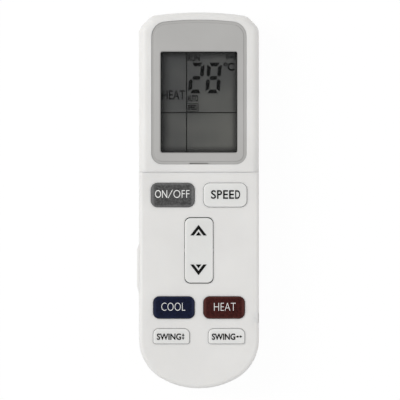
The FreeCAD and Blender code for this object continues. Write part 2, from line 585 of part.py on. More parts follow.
def flip_cover():
    """Panel over the key field, with a hinge bead along its right edge and a finger tab on its left."""
    plate = body_form(COVER_EDGE_RADIUS).common(
        slab(BOTTOM_Y - CUT_OVERRUN, COVER_TOP_Y, COVER_BOTTOM, FRONT_Z + CUT_OVERRUN))
    bead = rod_y(HINGE_X, HINGE_Z, COVER_EDGE_RADIUS - BEAD_STEP, BEAD_Y, COVER_TOP_Y).common(
        prism(body_arcs(), HINGE_Z - COVER_EDGE_RADIUS - CUT_OVERRUN, COVER_BOTTOM))

    tab_top = SEAM_Y - TAB_TO_SEAM
    tab_bottom = tab_top - TAB_LENGTH
    root = -HALF_WIDTH + TAB_ROOT
    tip = -HALF_WIDTH - TAB_REACH
    corners = [Vector(root, tab_bottom, COVER_BOTTOM), Vector(root, tab_top, COVER_BOTTOM),
               Vector(-HALF_WIDTH, tab_top, COVER_BOTTOM),
               Vector(tip, tab_top - TAB_UPPER_SLOPE, COVER_BOTTOM),
               Vector(tip, tab_bottom + TAB_LOWER_SLOPE, COVER_BOTTOM),
               Vector(-HALF_WIDTH, tab_bottom, COVER_BOTTOM)]
    plan = Part.Face(Part.makePolygon(corners + corners[:1]))
    tab = plan.extrude(Vector(0, 0, COVER_THICKNESS - TAB_DROP))

    plans = [panel_arcs(*key, KEY_COVER_GAP) for key in MAIN_KEYS.values()] + [panel_arcs(*ROCKER_HOLE)]
    holes = [prism(plan, COVER_BOTTOM - CUT_OVERRUN, FRONT_Z + CUT_OVERRUN) for plan in plans]
    cover = union(plate, bead, tab).cut([*knuckle_notch(), *holes])

    lower_pin = rod_y(HINGE_X, HINGE_Z, PIN_RADIUS, KNUCKLE_Y0 - CUT_OVERRUN, KNUCKLE_Y1 + CUT_OVERRUN)
    upper_pin = rod_y(HINGE_X, HINGE_Z, PIN_RADIUS, COVER_TOP_Y - CUT_OVERRUN, SEAM_Y + PIN_REACH)
    return union(cover, lower_pin, upper_pin)


def display_bezel():
    """Grey panel round the window: lower rim with a notch to lift it by, and a pocket for the lens."""
    rim_top = BEZEL_TOP - BEZEL_RIM_DROP
    raised = rounded(prism(bezel_arcs(-BEZEL_RIM_WIDTH), BEZEL_SEAT, BEZEL_TOP), BEZEL_EDGE_ROUND, BEZEL_TOP)
    panel = union(prism(bezel_arcs(), BEZEL_SEAT, rim_top), raised)
    panel = panel.cut(prism(window_arcs(), BEZEL_SEAT - CUT_OVERRUN, BEZEL_TOP + CUT_OVERRUN))
    rim = [edge for edge in edges_at(panel, BEZEL_TOP) if edge.BoundBox.XMax < WINDOW_WIDTH / 2 + SAME_PLACE
           and edge.BoundBox.XMin > -WINDOW_WIDTH / 2 - SAME_PLACE
           and edge.BoundBox.YMax < WINDOW_TOP_Y + SAME_PLACE]
    panel = panel.makeChamfer(WINDOW_CHAMFER, rim)
    pocket = prism(window_arcs(LENS_LAND + FIT_GAP), BEZEL_SEAT - CUT_OVERRUN, BEZEL_SEAT + LENS_THICKNESS)
    notch = box(-PRY_SLOT_WIDTH / 2, PRY_SLOT_WIDTH / 2, BEZEL_BOTTOM_Y - CUT_OVERRUN,
                BEZEL_BOTTOM_Y + PRY_SLOT_REACH, rim_top - PRY_SLOT_DEPTH, BEZEL_TOP + CUT_OVERRUN)
    return panel.cut([pocket, notch])


def display_lens():
    """Clear window, held behind the bezel."""
    return prism(window_arcs(LENS_LAND), BEZEL_SEAT, BEZEL_SEAT + LENS_THICKNESS)


def lcd_panel():
    """Liquid-crystal glass."""
    return box(-GLASS_WIDTH / 2, GLASS_WIDTH / 2, WINDOW_Y - GLASS_LENGTH / 2, WINDOW_Y + GLASS_LENGTH / 2,
               GLASS_BOTTOM, GLASS_TOP)


def lcd_reflector():
    """Film behind the liquid-crystal glass, between the two connector strips."""
    reach = STRIP_Y - STRIP_WIDTH
    return box(-GLASS_WIDTH / 2, GLASS_WIDTH / 2, WINDOW_Y - reach, WINDOW_Y + reach,
               GLASS_BOTTOM - REFLECTOR_THICKNESS, GLASS_BOTTOM)


def lcd_holder():
    """Frame on the board that keeps the glass in place."""
    outer = box(-GLASS_WIDTH / 2 - HOLDER_WALL, GLASS_WIDTH / 2 + HOLDER_WALL,
                WINDOW_Y - GLASS_LENGTH / 2 - HOLDER_WALL, WINDOW_Y + GLASS_LENGTH / 2 + HOLDER_WALL,
                BOARD_TOP, DECK_BOTTOM - HOLDER_HEAD_GAP)
    inner = box(-GLASS_WIDTH / 2 - FIT_GAP, GLASS_WIDTH / 2 + FIT_GAP, WINDOW_Y - GLASS_LENGTH / 2 - FIT_GAP,
                WINDOW_Y + GLASS_LENGTH / 2 + FIT_GAP, BOARD_TOP - CUT_OVERRUN, DECK_BOTTOM)
    return outer.cut(inner)


def connector_strips():
    """Two rubber strips that carry the signals from the board to the glass."""
    return Part.makeCompound([
        box(-WINDOW_WIDTH / 2, WINDOW_WIDTH / 2, WINDOW_Y + side * STRIP_Y - STRIP_WIDTH / 2,
            WINDOW_Y + side * STRIP_Y + STRIP_WIDTH / 2, BOARD_TOP, GLASS_BOTTOM)
        for side in (-1, 1)])


def key(plan, top, top_round):
    """Key with its flanges under the deck."""
    x, y, width, height = plan[:4]
    cap = rounded(prism(panel_arcs(*plan), KEY_BOTTOM, top), top_round, top)
    flange = box(x - width / 2 + plan[5], x + width / 2 - plan[5], y - height / 2 - KEY_FLANGE_REACH,
                 y + height / 2 + KEY_FLANGE_REACH, KEY_BOTTOM, FLANGE_TOP)
    return union(cap, flange)


def pill(x, y):
    """Conductive disc under a key."""
    return rod_z(x, y, PILL_RADIUS, PILL_BOTTOM, KEY_BOTTOM)


def temperature_rocker():
    """Tall key that tips on two stub axles."""
    cap = rounded(prism(panel_arcs(*ROCKER), KEY_BOTTOM, KEY_TOP), KEY_TOP_ROUND, KEY_TOP)
    return union(cap, trunnions(TRUNNION_RADIUS, TRUNNION_REACH))


def rocker_pills():
    """One conductive disc under each end of the rocker."""
    reach = ROCKER_LENGTH / 2 - ROCKER_PILL_INSET
    return Part.makeCompound([pill(0, ROCKER_Y + side * reach) for side in (-1, 1)])


def keypad_mat():
    """Silicone sheet on the board, open round every key and boss."""
    low = BOARD_TOP - CUT_OVERRUN
    high = BOARD_TOP + MAT_THICKNESS + CUT_OVERRUN
    sheet = prism(body_arcs(MAT_INSET), BOARD_TOP, BOARD_TOP + MAT_THICKNESS).common(
        slab(BOTTOM_Y, SEAM_Y - MAT_SEAM_GAP, low, high))
    cuts = []
    for x, y, width, height, top_corner, bottom_corner in (*MAIN_KEYS.values(), *SMALL_KEYS.values()):
        opening = (x, y, width, height + 2 * KEY_FLANGE_REACH, top_corner, bottom_corner)
        cuts.append(prism(panel_arcs(*opening, MAT_GAP), low, high))
    rocker_width = ROCKER_WIDTH + 2 * TRUNNION_REACH
    cuts.append(prism(panel_arcs(0, ROCKER_Y, rocker_width, *ROCKER[3:], MAT_GAP), low, high))
    cuts += [rod_z(x, y, BOARD_BOSS_RADIUS + MAT_GAP, low, high) for x, y in BOARD_BOSSES]
    cuts.append(rod_z(0, CASE_SCREW_Y, CASE_BOSS_RADIUS + MAT_GAP, low, high))
    return sheet.cut(cuts)


def back_shell():
    """Back of the case with the battery bay and the channel for its door."""
    form = body_form(FRONT_EDGE_RADIUS)
    outer = form.common(slab(BOTTOM_Y - CUT_OVERRUN, TOP_Y + CUT_OVERRUN, -CUT_OVERRUN, BACK_SHELL_HEIGHT))
    inside = prism(body_arcs(CASE_WALL), BACK_WALL, BACK_SHELL_HEIGHT + CUT_OVERRUN)
    lip = prism(body_arcs(CASE_WALL - LIP_WALL),
                BACK_SHELL_HEIGHT - LIP_HEIGHT, BACK_SHELL_HEIGHT + LIP_HEIGHT).cut(
        prism(body_arcs(CASE_WALL), BACK_SHELL_HEIGHT - LIP_HEIGHT, BACK_SHELL_HEIGHT + LIP_HEIGHT))
    lip = lip.cut(signal_opening(SIGNAL_FLANGE_REACH))
    shell = union(outer.cut(inside), lip)

    block_half = CHANNEL_HALF_WIDTH + RAIL_ROOF
    floor = box(-block_half, block_half, BOTTOM_Y, BATTERY_DOOR_Y + BAY_WALL, 0, CHANNEL_TOP + RAIL_ROOF)
    platform = box(-block_half, block_half, BOTTOM_Y, BAY_Y0, 0, PLATFORM_TOP)
    bay = box(-BAY_HALF_WIDTH - BAY_WALL, BAY_HALF_WIDTH + BAY_WALL, BAY_Y0 - BAY_WALL, BAY_Y1 + BAY_WALL,
              CHANNEL_TOP, BAY_CEILING + BAY_ROOF)
    shell = union(shell, floor.common(form), platform.common(form), bay)

    cuts = [box(-BAY_HALF_WIDTH, BAY_HALF_WIDTH, BAY_Y0, BAY_Y1, -CUT_OVERRUN, BAY_CEILING),
            box(-BATTERY_DOOR_HALF_WIDTH, BATTERY_DOOR_HALF_WIDTH, BOTTOM_Y - CUT_OVERRUN, BATTERY_DOOR_Y,
                -CUT_OVERRUN, RAIL_BOTTOM),
            box(-CHANNEL_HALF_WIDTH, CHANNEL_HALF_WIDTH, BOTTOM_Y - CUT_OVERRUN, BATTERY_DOOR_Y,
                RAIL_BOTTOM, CHANNEL_TOP),
            rod_z(0, CASE_SCREW_Y, CASE_SCREW_HEAD_RADIUS + FIT_GAP,
                  CHANNEL_TOP - CUT_OVERRUN, CASE_SCREW_SEAT),
            rod_z(0, CASE_SCREW_Y, CASE_SCREW_RADIUS + SCREW_HOLE_GAP, CASE_SCREW_SEAT - CUT_OVERRUN,
                  PLATFORM_TOP + CUT_OVERRUN)]
    cuts += [tail(side, FIT_GAP, CELL_Z) for side in (-1, 1)]
    return shell.cut(cuts).removeSplitter()


def battery_door():
    """Sliding door with side rails, which closes the bay and the lower end of the back."""
    plate_half = BATTERY_DOOR_HALF_WIDTH - BATTERY_DOOR_GAP
    rail_half = CHANNEL_HALF_WIDTH - BATTERY_DOOR_GAP
    top_y = BATTERY_DOOR_Y - BATTERY_DOOR_GAP
    plate = box(-plate_half, plate_half, BOTTOM_Y, top_y, 0, RAIL_BOTTOM)
    end = box(-plate_half, plate_half, BOTTOM_Y, BOTTOM_Y + DOOR_END_LAND, 0, RAIL_TOP)
    rails = [box(min(side * rail_half, side * (rail_half - RAIL_WIDTH)),
                 max(side * rail_half, side * (rail_half - RAIL_WIDTH)),
                 BOTTOM_Y, top_y, RAIL_BOTTOM + RAIL_GAP, RAIL_TOP)
             for side in (-1, 1)]
    webs = [box(min(side * plate_half, side * (rail_half - RAIL_WIDTH)),
                max(side * plate_half, side * (rail_half - RAIL_WIDTH)),
                BOTTOM_Y, top_y, 0, RAIL_TOP)
            for side in (-1, 1)]
    door = union(plate, end, *rails, *webs).common(body_form(FRONT_EDGE_RADIUS))
    grip_y = top_y - GRIP_TO_DOOR_TOP
    grooves = [box(-GRIP_GROOVE_LENGTH / 2, GRIP_GROOVE_LENGTH / 2,
                   grip_y - row * GRIP_GROOVE_PITCH - GRIP_GROOVE_WIDTH,
                   grip_y - row * GRIP_GROOVE_PITCH, -CUT_OVERRUN, GRIP_GROOVE_DEPTH)
               for row in range(GRIP_GROOVES)]
    arrow_y = grip_y - GRIP_GROOVES * GRIP_GROOVE_PITCH - ARROW_TO_GRIP
    corners = [Vector(-ARROW_WIDTH / 2, arrow_y, -CUT_OVERRUN),
               Vector(ARROW_WIDTH / 2, arrow_y, -CUT_OVERRUN),
               Vector(0, arrow_y - ARROW_LENGTH, -CUT_OVERRUN)]
    plan = Part.Face(Part.makePolygon(corners + corners[:1]))
    arrow = plan.extrude(Vector(0, 0, CUT_OVERRUN + ARROW_DEPTH))
    return door.cut([arrow, *grooves])


def cell(side):
    """AAA cell. The left one has its positive end at the top, the right one at the bottom."""
    can = rod_y(0, 0, CELL_DIAMETER / 2, 0, CELL_LENGTH - CELL_NUB_LENGTH)
    can = can.makeFillet(CELL_EDGE_ROUND, [edge for edge in can.Edges if edge.BoundBox.YLength < SAME_PLACE])
    nub = rod_y(0, 0, CELL_NUB_RADIUS, 0, CELL_LENGTH)
    solid = union(can, nub)
    if side > 0:
        solid.rotate(Vector(0, CELL_LENGTH / 2, 0), Vector(0, 0, 1), 180)
        start = BAY_Y0 + CONTACT_THICKNESS
    else:
        start = BAY_Y1 - CONTACT_THICKNESS - CELL_LENGTH
    solid.translate(Vector(side * CELL_X, start, CELL_Z))
    return solid


def contact_plate(x0, x1, y0):
    """Flat metal contact at one end of the bay."""
    return box(x0, x1, y0, y0 + CONTACT_THICKNESS, CELL_Z - CONTACT_SIZE / 2, CELL_Z + CONTACT_SIZE / 2)


def tail(side, grow, bottom):
    """Tongue of an end contact that runs up through the bay roof and the board."""
    return box(side * CELL_X - TAIL_WIDTH / 2 - grow, side * CELL_X + TAIL_WIDTH / 2 + grow,
               BAY_Y1 - CONTACT_THICKNESS - grow, BAY_Y1 + grow, bottom, BOARD_TOP)


def end_contact(side):
    """Contact at the upper end of the bay, with its tongue soldered into the board."""
    plate = contact_plate(side * CELL_X - CONTACT_SIZE / 2, side * CELL_X + CONTACT_SIZE / 2,
                          BAY_Y1 - CONTACT_THICKNESS)
    return union(plate, tail(side, 0, CELL_Z))


def bridge_contact():
    """Plate that joins the two cells at the lower end of the bay."""
    return contact_plate(-CELL_X - CONTACT_SIZE / 2, CELL_X + CONTACT_SIZE / 2, BAY_Y0)


def arc_middle(start, heading, end):
    """Middle point of the arc that leaves start with a heading and reaches end."""
    chord = end - start
    along = Vector(chord).normalize()
    bulge = (heading - along * heading.dot(along)).normalize()
    half_turn = math.acos(max(-1, min(1, heading.dot(along))))
    return (start + end) / 2 + bulge * (chord.Length / 2 * math.tan(half_turn / 2))


def biarc(start, leave, end, arrive):
    """Two arcs, tangent to each other, between two points with given headings."""
    span = end - start
    both = leave + arrive
    bend = 2 * (1 - leave.dot(arrive))
    slope = span.dot(both)
    reach = (math.sqrt(slope ** 2 + bend * span.dot(span)) - slope) / bend
    joint = (start + end + (leave - arrive) * reach) / 2
    return [Part.Arc(start, arc_middle(start, leave, joint), joint).toShape(),
            Part.Arc(joint, arc_middle(end, arrive * -1, joint), end).toShape()]


def spring_path():
    """Points and headings of a tapering coil along +Y, at every quarter turn."""
    quarters = 4 * SPRING_TURNS
    rise = SPRING_SPACE - 2 * (SPRING_WIRE_RADIUS + SPRING_END_GAP)
    stations = []
    for quarter in range(quarters + 1):
        share = quarter / quarters
        turn = math.pi / 2 * quarter
        radius = SPRING_BASE_RADIUS + (SPRING_TIP_RADIUS - SPRING_BASE_RADIUS) * share
        shrink = (SPRING_TIP_RADIUS - SPRING_BASE_RADIUS) / (2 * math.pi * SPRING_TURNS)
        climb = rise / (2 * math.pi * SPRING_TURNS)
        point = Vector(radius * math.cos(turn), SPRING_WIRE_RADIUS + SPRING_END_GAP + rise * share,
                       radius * math.sin(turn))
        heading = Vector(shrink * math.cos(turn) - radius * math.sin(turn), climb,
                         shrink * math.sin(turn) + radius * math.cos(turn))
        stations.append((point, heading.normalize()))
    return stations


def spring(side):
    """Tapering coil that presses on a cell's flat end."""
    stations = spring_path()
    edges = []
    for (start, leave), (end, arrive) in zip(stations, stations[1:]):
        edges += biarc(start, leave, end, arrive)
    path = Part.Wire(edges)
    ring = Part.Wire(Part.Circle(stations[0][0], stations[0][1], SPRING_WIRE_RADIUS).toShape())
    coil = path.makePipeShell([ring], True, False)
    if side > 0:
        coil.rotate(Vector(0, 0, 0), Vector(0, 0, 1), 180)
        base = BAY_Y1 - CONTACT_THICKNESS
    else:
        base = BAY_Y0 + CONTACT_THICKNESS
    coil.translate(Vector(side * CELL_X, base, CELL_Z))
    return coil


def spring_gap():
    """Least clear distance between neighbouring turns of a spring."""
    stations = spring_path()
    apart = [(one - other).Length
             for place, (one, _) in enumerate(stations)
             for other, _ in stations[place + 3:]]
    return min(apart) - 2 * SPRING_WIRE_RADIUS


def circuit_board():
    """Board under the keys and the display, notched for the lamp and the case screw."""
    sheet = prism(body_arcs(BOARD_INSET), BOARD_BOTTOM, BOARD_TOP).common(
        slab(BOTTOM_Y + BOARD_END_MARGIN, BOARD_TOP_Y, BOARD_BOTTOM - CUT_OVERRUN, BOARD_TOP + CUT_OVERRUN))
    low = BOARD_BOTTOM - CUT_OVERRUN
    high = BOARD_TOP + CUT_OVERRUN
    notch = LAMP_FLANGE_RADIUS + LAMP_NOTCH_GAP
    cuts = [box(-notch, notch, LAMP_BASE_Y - LAMP_NOTCH_GAP, BOARD_TOP_Y + CUT_OVERRUN, low, high),
            rod_z(0, CASE_SCREW_Y, CASE_BOSS_RADIUS + SCREW_HOLE_GAP, low, high)]
    cuts += [rod_z(x, y, BOARD_SCREW_RADIUS + SCREW_HOLE_GAP, low, high) for x, y in BOARD_BOSSES]
    cuts += [tail(side, RUNNING_FIT, BOARD_BOTTOM - CUT_OVERRUN) for side in (-1, 1)]
    return sheet.cut(cuts)


def controller_chip():
    """Chip under its drop of resin, behind the display."""
    drop = rod_z(0, WINDOW_Y, CHIP_RADIUS, BOARD_TOP, BOARD_TOP + CHIP_HEIGHT)
    return rounded(drop, CHIP_ROUND, BOARD_TOP + CHIP_HEIGHT)


def crystal():
    """Clock crystal in its can, on the back of the board."""
    arcs = panel_arcs(WINDOW_WIDTH / 4, WINDOW_Y, CRYSTAL_WIDTH, CRYSTAL_LENGTH,
                      CRYSTAL_ROUND, CRYSTAL_ROUND)
    return prism(arcs, BOARD_BOTTOM - CRYSTAL_HEIGHT, BOARD_BOTTOM)


def capacitor():
    """Capacitor lying on the back of the board."""
    can = rod_y(-WINDOW_WIDTH / 4, BOARD_BOTTOM - CAPACITOR_RADIUS - RUNNING_FIT, CAPACITOR_RADIUS,
                WINDOW_Y - CAPACITOR_LENGTH / 2, WINDOW_Y + CAPACITOR_LENGTH / 2)
    rims = [edge for edge in can.Edges if edge.BoundBox.YLength < SAME_PLACE]
    return can.makeFillet(CAPACITOR_ROUND, rims)


def small_components():
    """Row of small chip parts on the back of the board."""
    start = -(SMALL_CHIP_COUNT - 1) * SMALL_CHIP_PITCH / 2
    places = [start + place * SMALL_CHIP_PITCH for place in range(SMALL_CHIP_COUNT)]
    return Part.makeCompound([
        box(x - SMALL_CHIP_WIDTH / 2, x + SMALL_CHIP_WIDTH / 2,
            WINDOW_BOTTOM_Y, WINDOW_BOTTOM_Y + SMALL_CHIP_LENGTH,
            BOARD_BOTTOM - SMALL_CHIP_HEIGHT, BOARD_BOTTOM)
        for x in places])


def infrared_lamp():
    """Lamp with a domed tip, lying in the board's notch, with its two legs on the board."""
    body = rod_y(0, LAMP_Z, LAMP_RADIUS, LAMP_BASE_Y, LAMP_TIP_Y - LAMP_RADIUS)
    dome = Part.makeSphere(LAMP_RADIUS, Vector(0, LAMP_TIP_Y - LAMP_RADIUS, LAMP_Z))
    flange = rod_y(0, LAMP_Z, LAMP_FLANGE_RADIUS, LAMP_BASE_Y, LAMP_BASE_Y + LAMP_FLANGE_LENGTH)
    legs = [box(side * LAMP_LEAD_SPACING / 2 - LAMP_LEAD_WIDTH / 2,
                side * LAMP_LEAD_SPACING / 2 + LAMP_LEAD_WIDTH / 2,
                LAMP_BASE_Y - LAMP_NOTCH_GAP - LAMP_LEAD_LAP, LAMP_BASE_Y + LAMP_FLANGE_LENGTH / 2,
                BOARD_TOP, BOARD_TOP + LAMP_LEAD_WIDTH)
            for side in (-1, 1)]
    return union(body, dome, flange, *legs)


def infrared_window():
    """Dark window in the top end wall, with a flange behind it."""
    skin = prism(body_arcs(), BACK_SHELL_HEIGHT, FRONT_Z)
    deep = prism(body_arcs(CASE_WALL + RUNNING_FIT + SIGNAL_FLANGE_THICKNESS), BACK_SHELL_HEIGHT, FRONT_Z)
    behind = prism(body_arcs(CASE_WALL + RUNNING_FIT), BACK_SHELL_HEIGHT, FRONT_Z)
    plug = skin.cut(deep).common(signal_opening(-RUNNING_FIT))
    flange = behind.cut(deep).common(signal_opening(SIGNAL_FLANGE_REACH))
    return union(plug, flange)


def screw(x, y, seat, radius, grip, head_radius, head_height):
    """Cross-head screw that points up, with its head under the seat."""
    head = rod_z(x, y, head_radius, seat - head_height, seat)
    shank = rod_z(x, y, radius, seat - head_height, seat + grip)
    solid = union(head, shank)
    reach = head_radius * SOCKET_LENGTH_SHARE / 2
    low = seat - head_height - CUT_OVERRUN
    high = seat - head_height + head_height * SOCKET_DEPTH_SHARE
    cross = [box(x - reach, x + reach, y - SOCKET_WIDTH / 2, y + SOCKET_WIDTH / 2, low, high),
             box(x - SOCKET_WIDTH / 2, x + SOCKET_WIDTH / 2, y - reach, y + reach, low, high)]
    return solid.cut(cross)


def board_screws():
    """Screws that hold the board to the front shell."""
    return Part.makeCompound([
        screw(x, y, BOARD_BOTTOM, BOARD_SCREW_RADIUS, BOARD_THICKNESS + BOARD_SCREW_GRIP,
              BOARD_SCREW_HEAD_RADIUS, BOARD_SCREW_HEAD_HEIGHT)
        for x, y in BOARD_BOSSES])


def case_screw():
    """Screw behind the battery door that holds the two shells together."""
    return screw(0, CASE_SCREW_Y, CASE_SCREW_SEAT, CASE_SCREW_RADIUS, CASE_SCREW_GRIP,
                 CASE_SCREW_HEAD_RADIUS, CASE_SCREW_HEAD_HEIGHT)


def all_parts():
    """Every piece by name."""
    parts = {
        "front_shell": front_shell(),
        "back_shell": back_shell(),
        "flip_cover": flip_cover(),
        "battery_door": battery_door(),
        "display_bezel": display_bezel(),
        "display_lens": display_lens(),
        "lcd_panel": lcd_panel(),
        "lcd_reflector": lcd_reflector(),
        "lcd_holder": lcd_holder(),
        "connector_strips": connector_strips(),
        "circuit_board": circuit_board(),
        "controller_chip": controller_chip(),
        "crystal": crystal(),
        "capacitor": capacitor(),
        "small_components": small_components(),
        "infrared_lamp": infrared_lamp(),
        "infrared_window": infrared_window(),
        "keypad_mat": keypad_mat(),
        "temperature_rocker": temperature_rocker(),
        "temperature_rocker_pills": rocker_pills(),
        "cell_left": cell(-1),
        "cell_right": cell(1),
        "cell_spring_left": spring(-1),
        "cell_spring_right": spring(1),
        "positive_contact": end_contact(-1),
        "negative_contact": end_contact(1),
        "bridge_contact": bridge_contact(),
        "board_screws": board_screws(),
        "case_screw": case_screw(),
    }
    for name, plan in MAIN_KEYS.items():
        parts[name] = key(plan, KEY_TOP, KEY_TOP_ROUND)
        parts[name + "_pill"] = pill(*plan[:2])
    for name, plan in SMALL_KEYS.items():
        parts[name] = key(plan, DECK_TOP + SMALL_KEY_PROUD, SMALL_KEY_TOP_ROUND)
        parts[name + "_pill"] = pill(*plan[:2])
    return parts


os.makedirs("parts", exist_ok=True)
for node, shape in all_parts().items():
    print(node, len(shape.Solids), "solids, valid", shape.isValid(), "volume", round(shape.Volume, 2))
    shape.exportStep("parts/" + node + ".step")
print("least gap between the turns of a spring", round(spring_gap(), 2))
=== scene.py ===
"""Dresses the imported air-conditioner remote control: finishes, printed legends, display and studio."""

import json
import logging
import math
from dataclasses import dataclass, field
from enum import Enum, StrEnum

import bmesh
import bpy
from mathutils import Matrix, Vector

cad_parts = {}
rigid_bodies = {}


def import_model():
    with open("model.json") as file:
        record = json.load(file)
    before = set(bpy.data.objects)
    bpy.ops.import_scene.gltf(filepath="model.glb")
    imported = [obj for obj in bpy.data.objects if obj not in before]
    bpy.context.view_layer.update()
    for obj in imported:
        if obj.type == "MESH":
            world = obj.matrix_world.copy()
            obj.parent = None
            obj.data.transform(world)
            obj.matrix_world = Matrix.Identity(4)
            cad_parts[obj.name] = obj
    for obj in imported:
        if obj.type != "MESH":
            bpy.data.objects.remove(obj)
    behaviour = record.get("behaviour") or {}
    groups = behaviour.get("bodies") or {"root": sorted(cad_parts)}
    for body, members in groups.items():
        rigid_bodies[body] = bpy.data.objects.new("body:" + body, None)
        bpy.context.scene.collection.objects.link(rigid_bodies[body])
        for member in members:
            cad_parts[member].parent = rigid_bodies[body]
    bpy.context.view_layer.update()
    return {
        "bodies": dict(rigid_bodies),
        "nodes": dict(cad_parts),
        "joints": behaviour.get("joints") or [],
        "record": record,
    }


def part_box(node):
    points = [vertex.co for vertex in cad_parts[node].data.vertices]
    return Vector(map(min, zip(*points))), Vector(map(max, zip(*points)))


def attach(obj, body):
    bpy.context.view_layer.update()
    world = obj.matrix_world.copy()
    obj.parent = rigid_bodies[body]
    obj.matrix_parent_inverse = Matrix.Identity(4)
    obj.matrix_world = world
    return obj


LOG = logging.getLogger("remote_control")
MM = 0.001
NOISE_LOW = 0.3
NOISE_HIGH = 0.7
KEY_FLANGE = 0.0006
LENS_EDGE = 0.0011
MERGE_DISTANCE = 1e-7

Point = tuple[float, float]
Triple = tuple[float, float, float]
Colour = Triple
Polygon = list[Point]
Limits = tuple[float, float, float, float]
Fades = tuple[Point, Point, Point, Point]
Socket = bpy.types.NodeSocket
Mesh = bpy.types.Mesh


def srgb(red: float, green: float, blue: float) -> Colour:
    """Turns a display colour, with levels of 0 to 255, into the linear colour that shaders take."""
    shares = [level / 255 for level in (red, green, blue)]
    return tuple(share / 12.92 if share <= 0.04045 else ((share + 0.055) / 1.055) ** 2.4 for share in shares)


def shade(colour: Colour, factor: float) -> Colour:
    """A colour made lighter or darker by a factor."""
    return tuple(min(1.0, channel * factor) for channel in colour)


class CadBody(StrEnum):
    """Bodies of the frame that pieces ride on."""

    CASE = "case"
    ROCKER = "temperature_rocker"
    POWER = "power_key"
    FAN_SPEED = "fan_speed_key"
    COOL = "cool_key"
    HEAT = "heat_key"
    SWING_UP_DOWN = "swing_up_down_key"
    SWING_LEFT_RIGHT = "swing_left_right_key"


class Ink(StrEnum):
    """Inks of the printed marks."""

    WHITE = "white_ink"
    BLACK = "black_ink"
    SEGMENT = "segment_ink"
    GOLD = "gold_plate"


class Segment(Enum):
    """Bars of one display digit."""

    TOP = "top"
    MIDDLE = "middle"
    BOTTOM = "bottom"
    UPPER_LEFT = "upper_left"
    UPPER_RIGHT = "upper_right"
    LOWER_LEFT = "lower_left"
    LOWER_RIGHT = "lower_right"


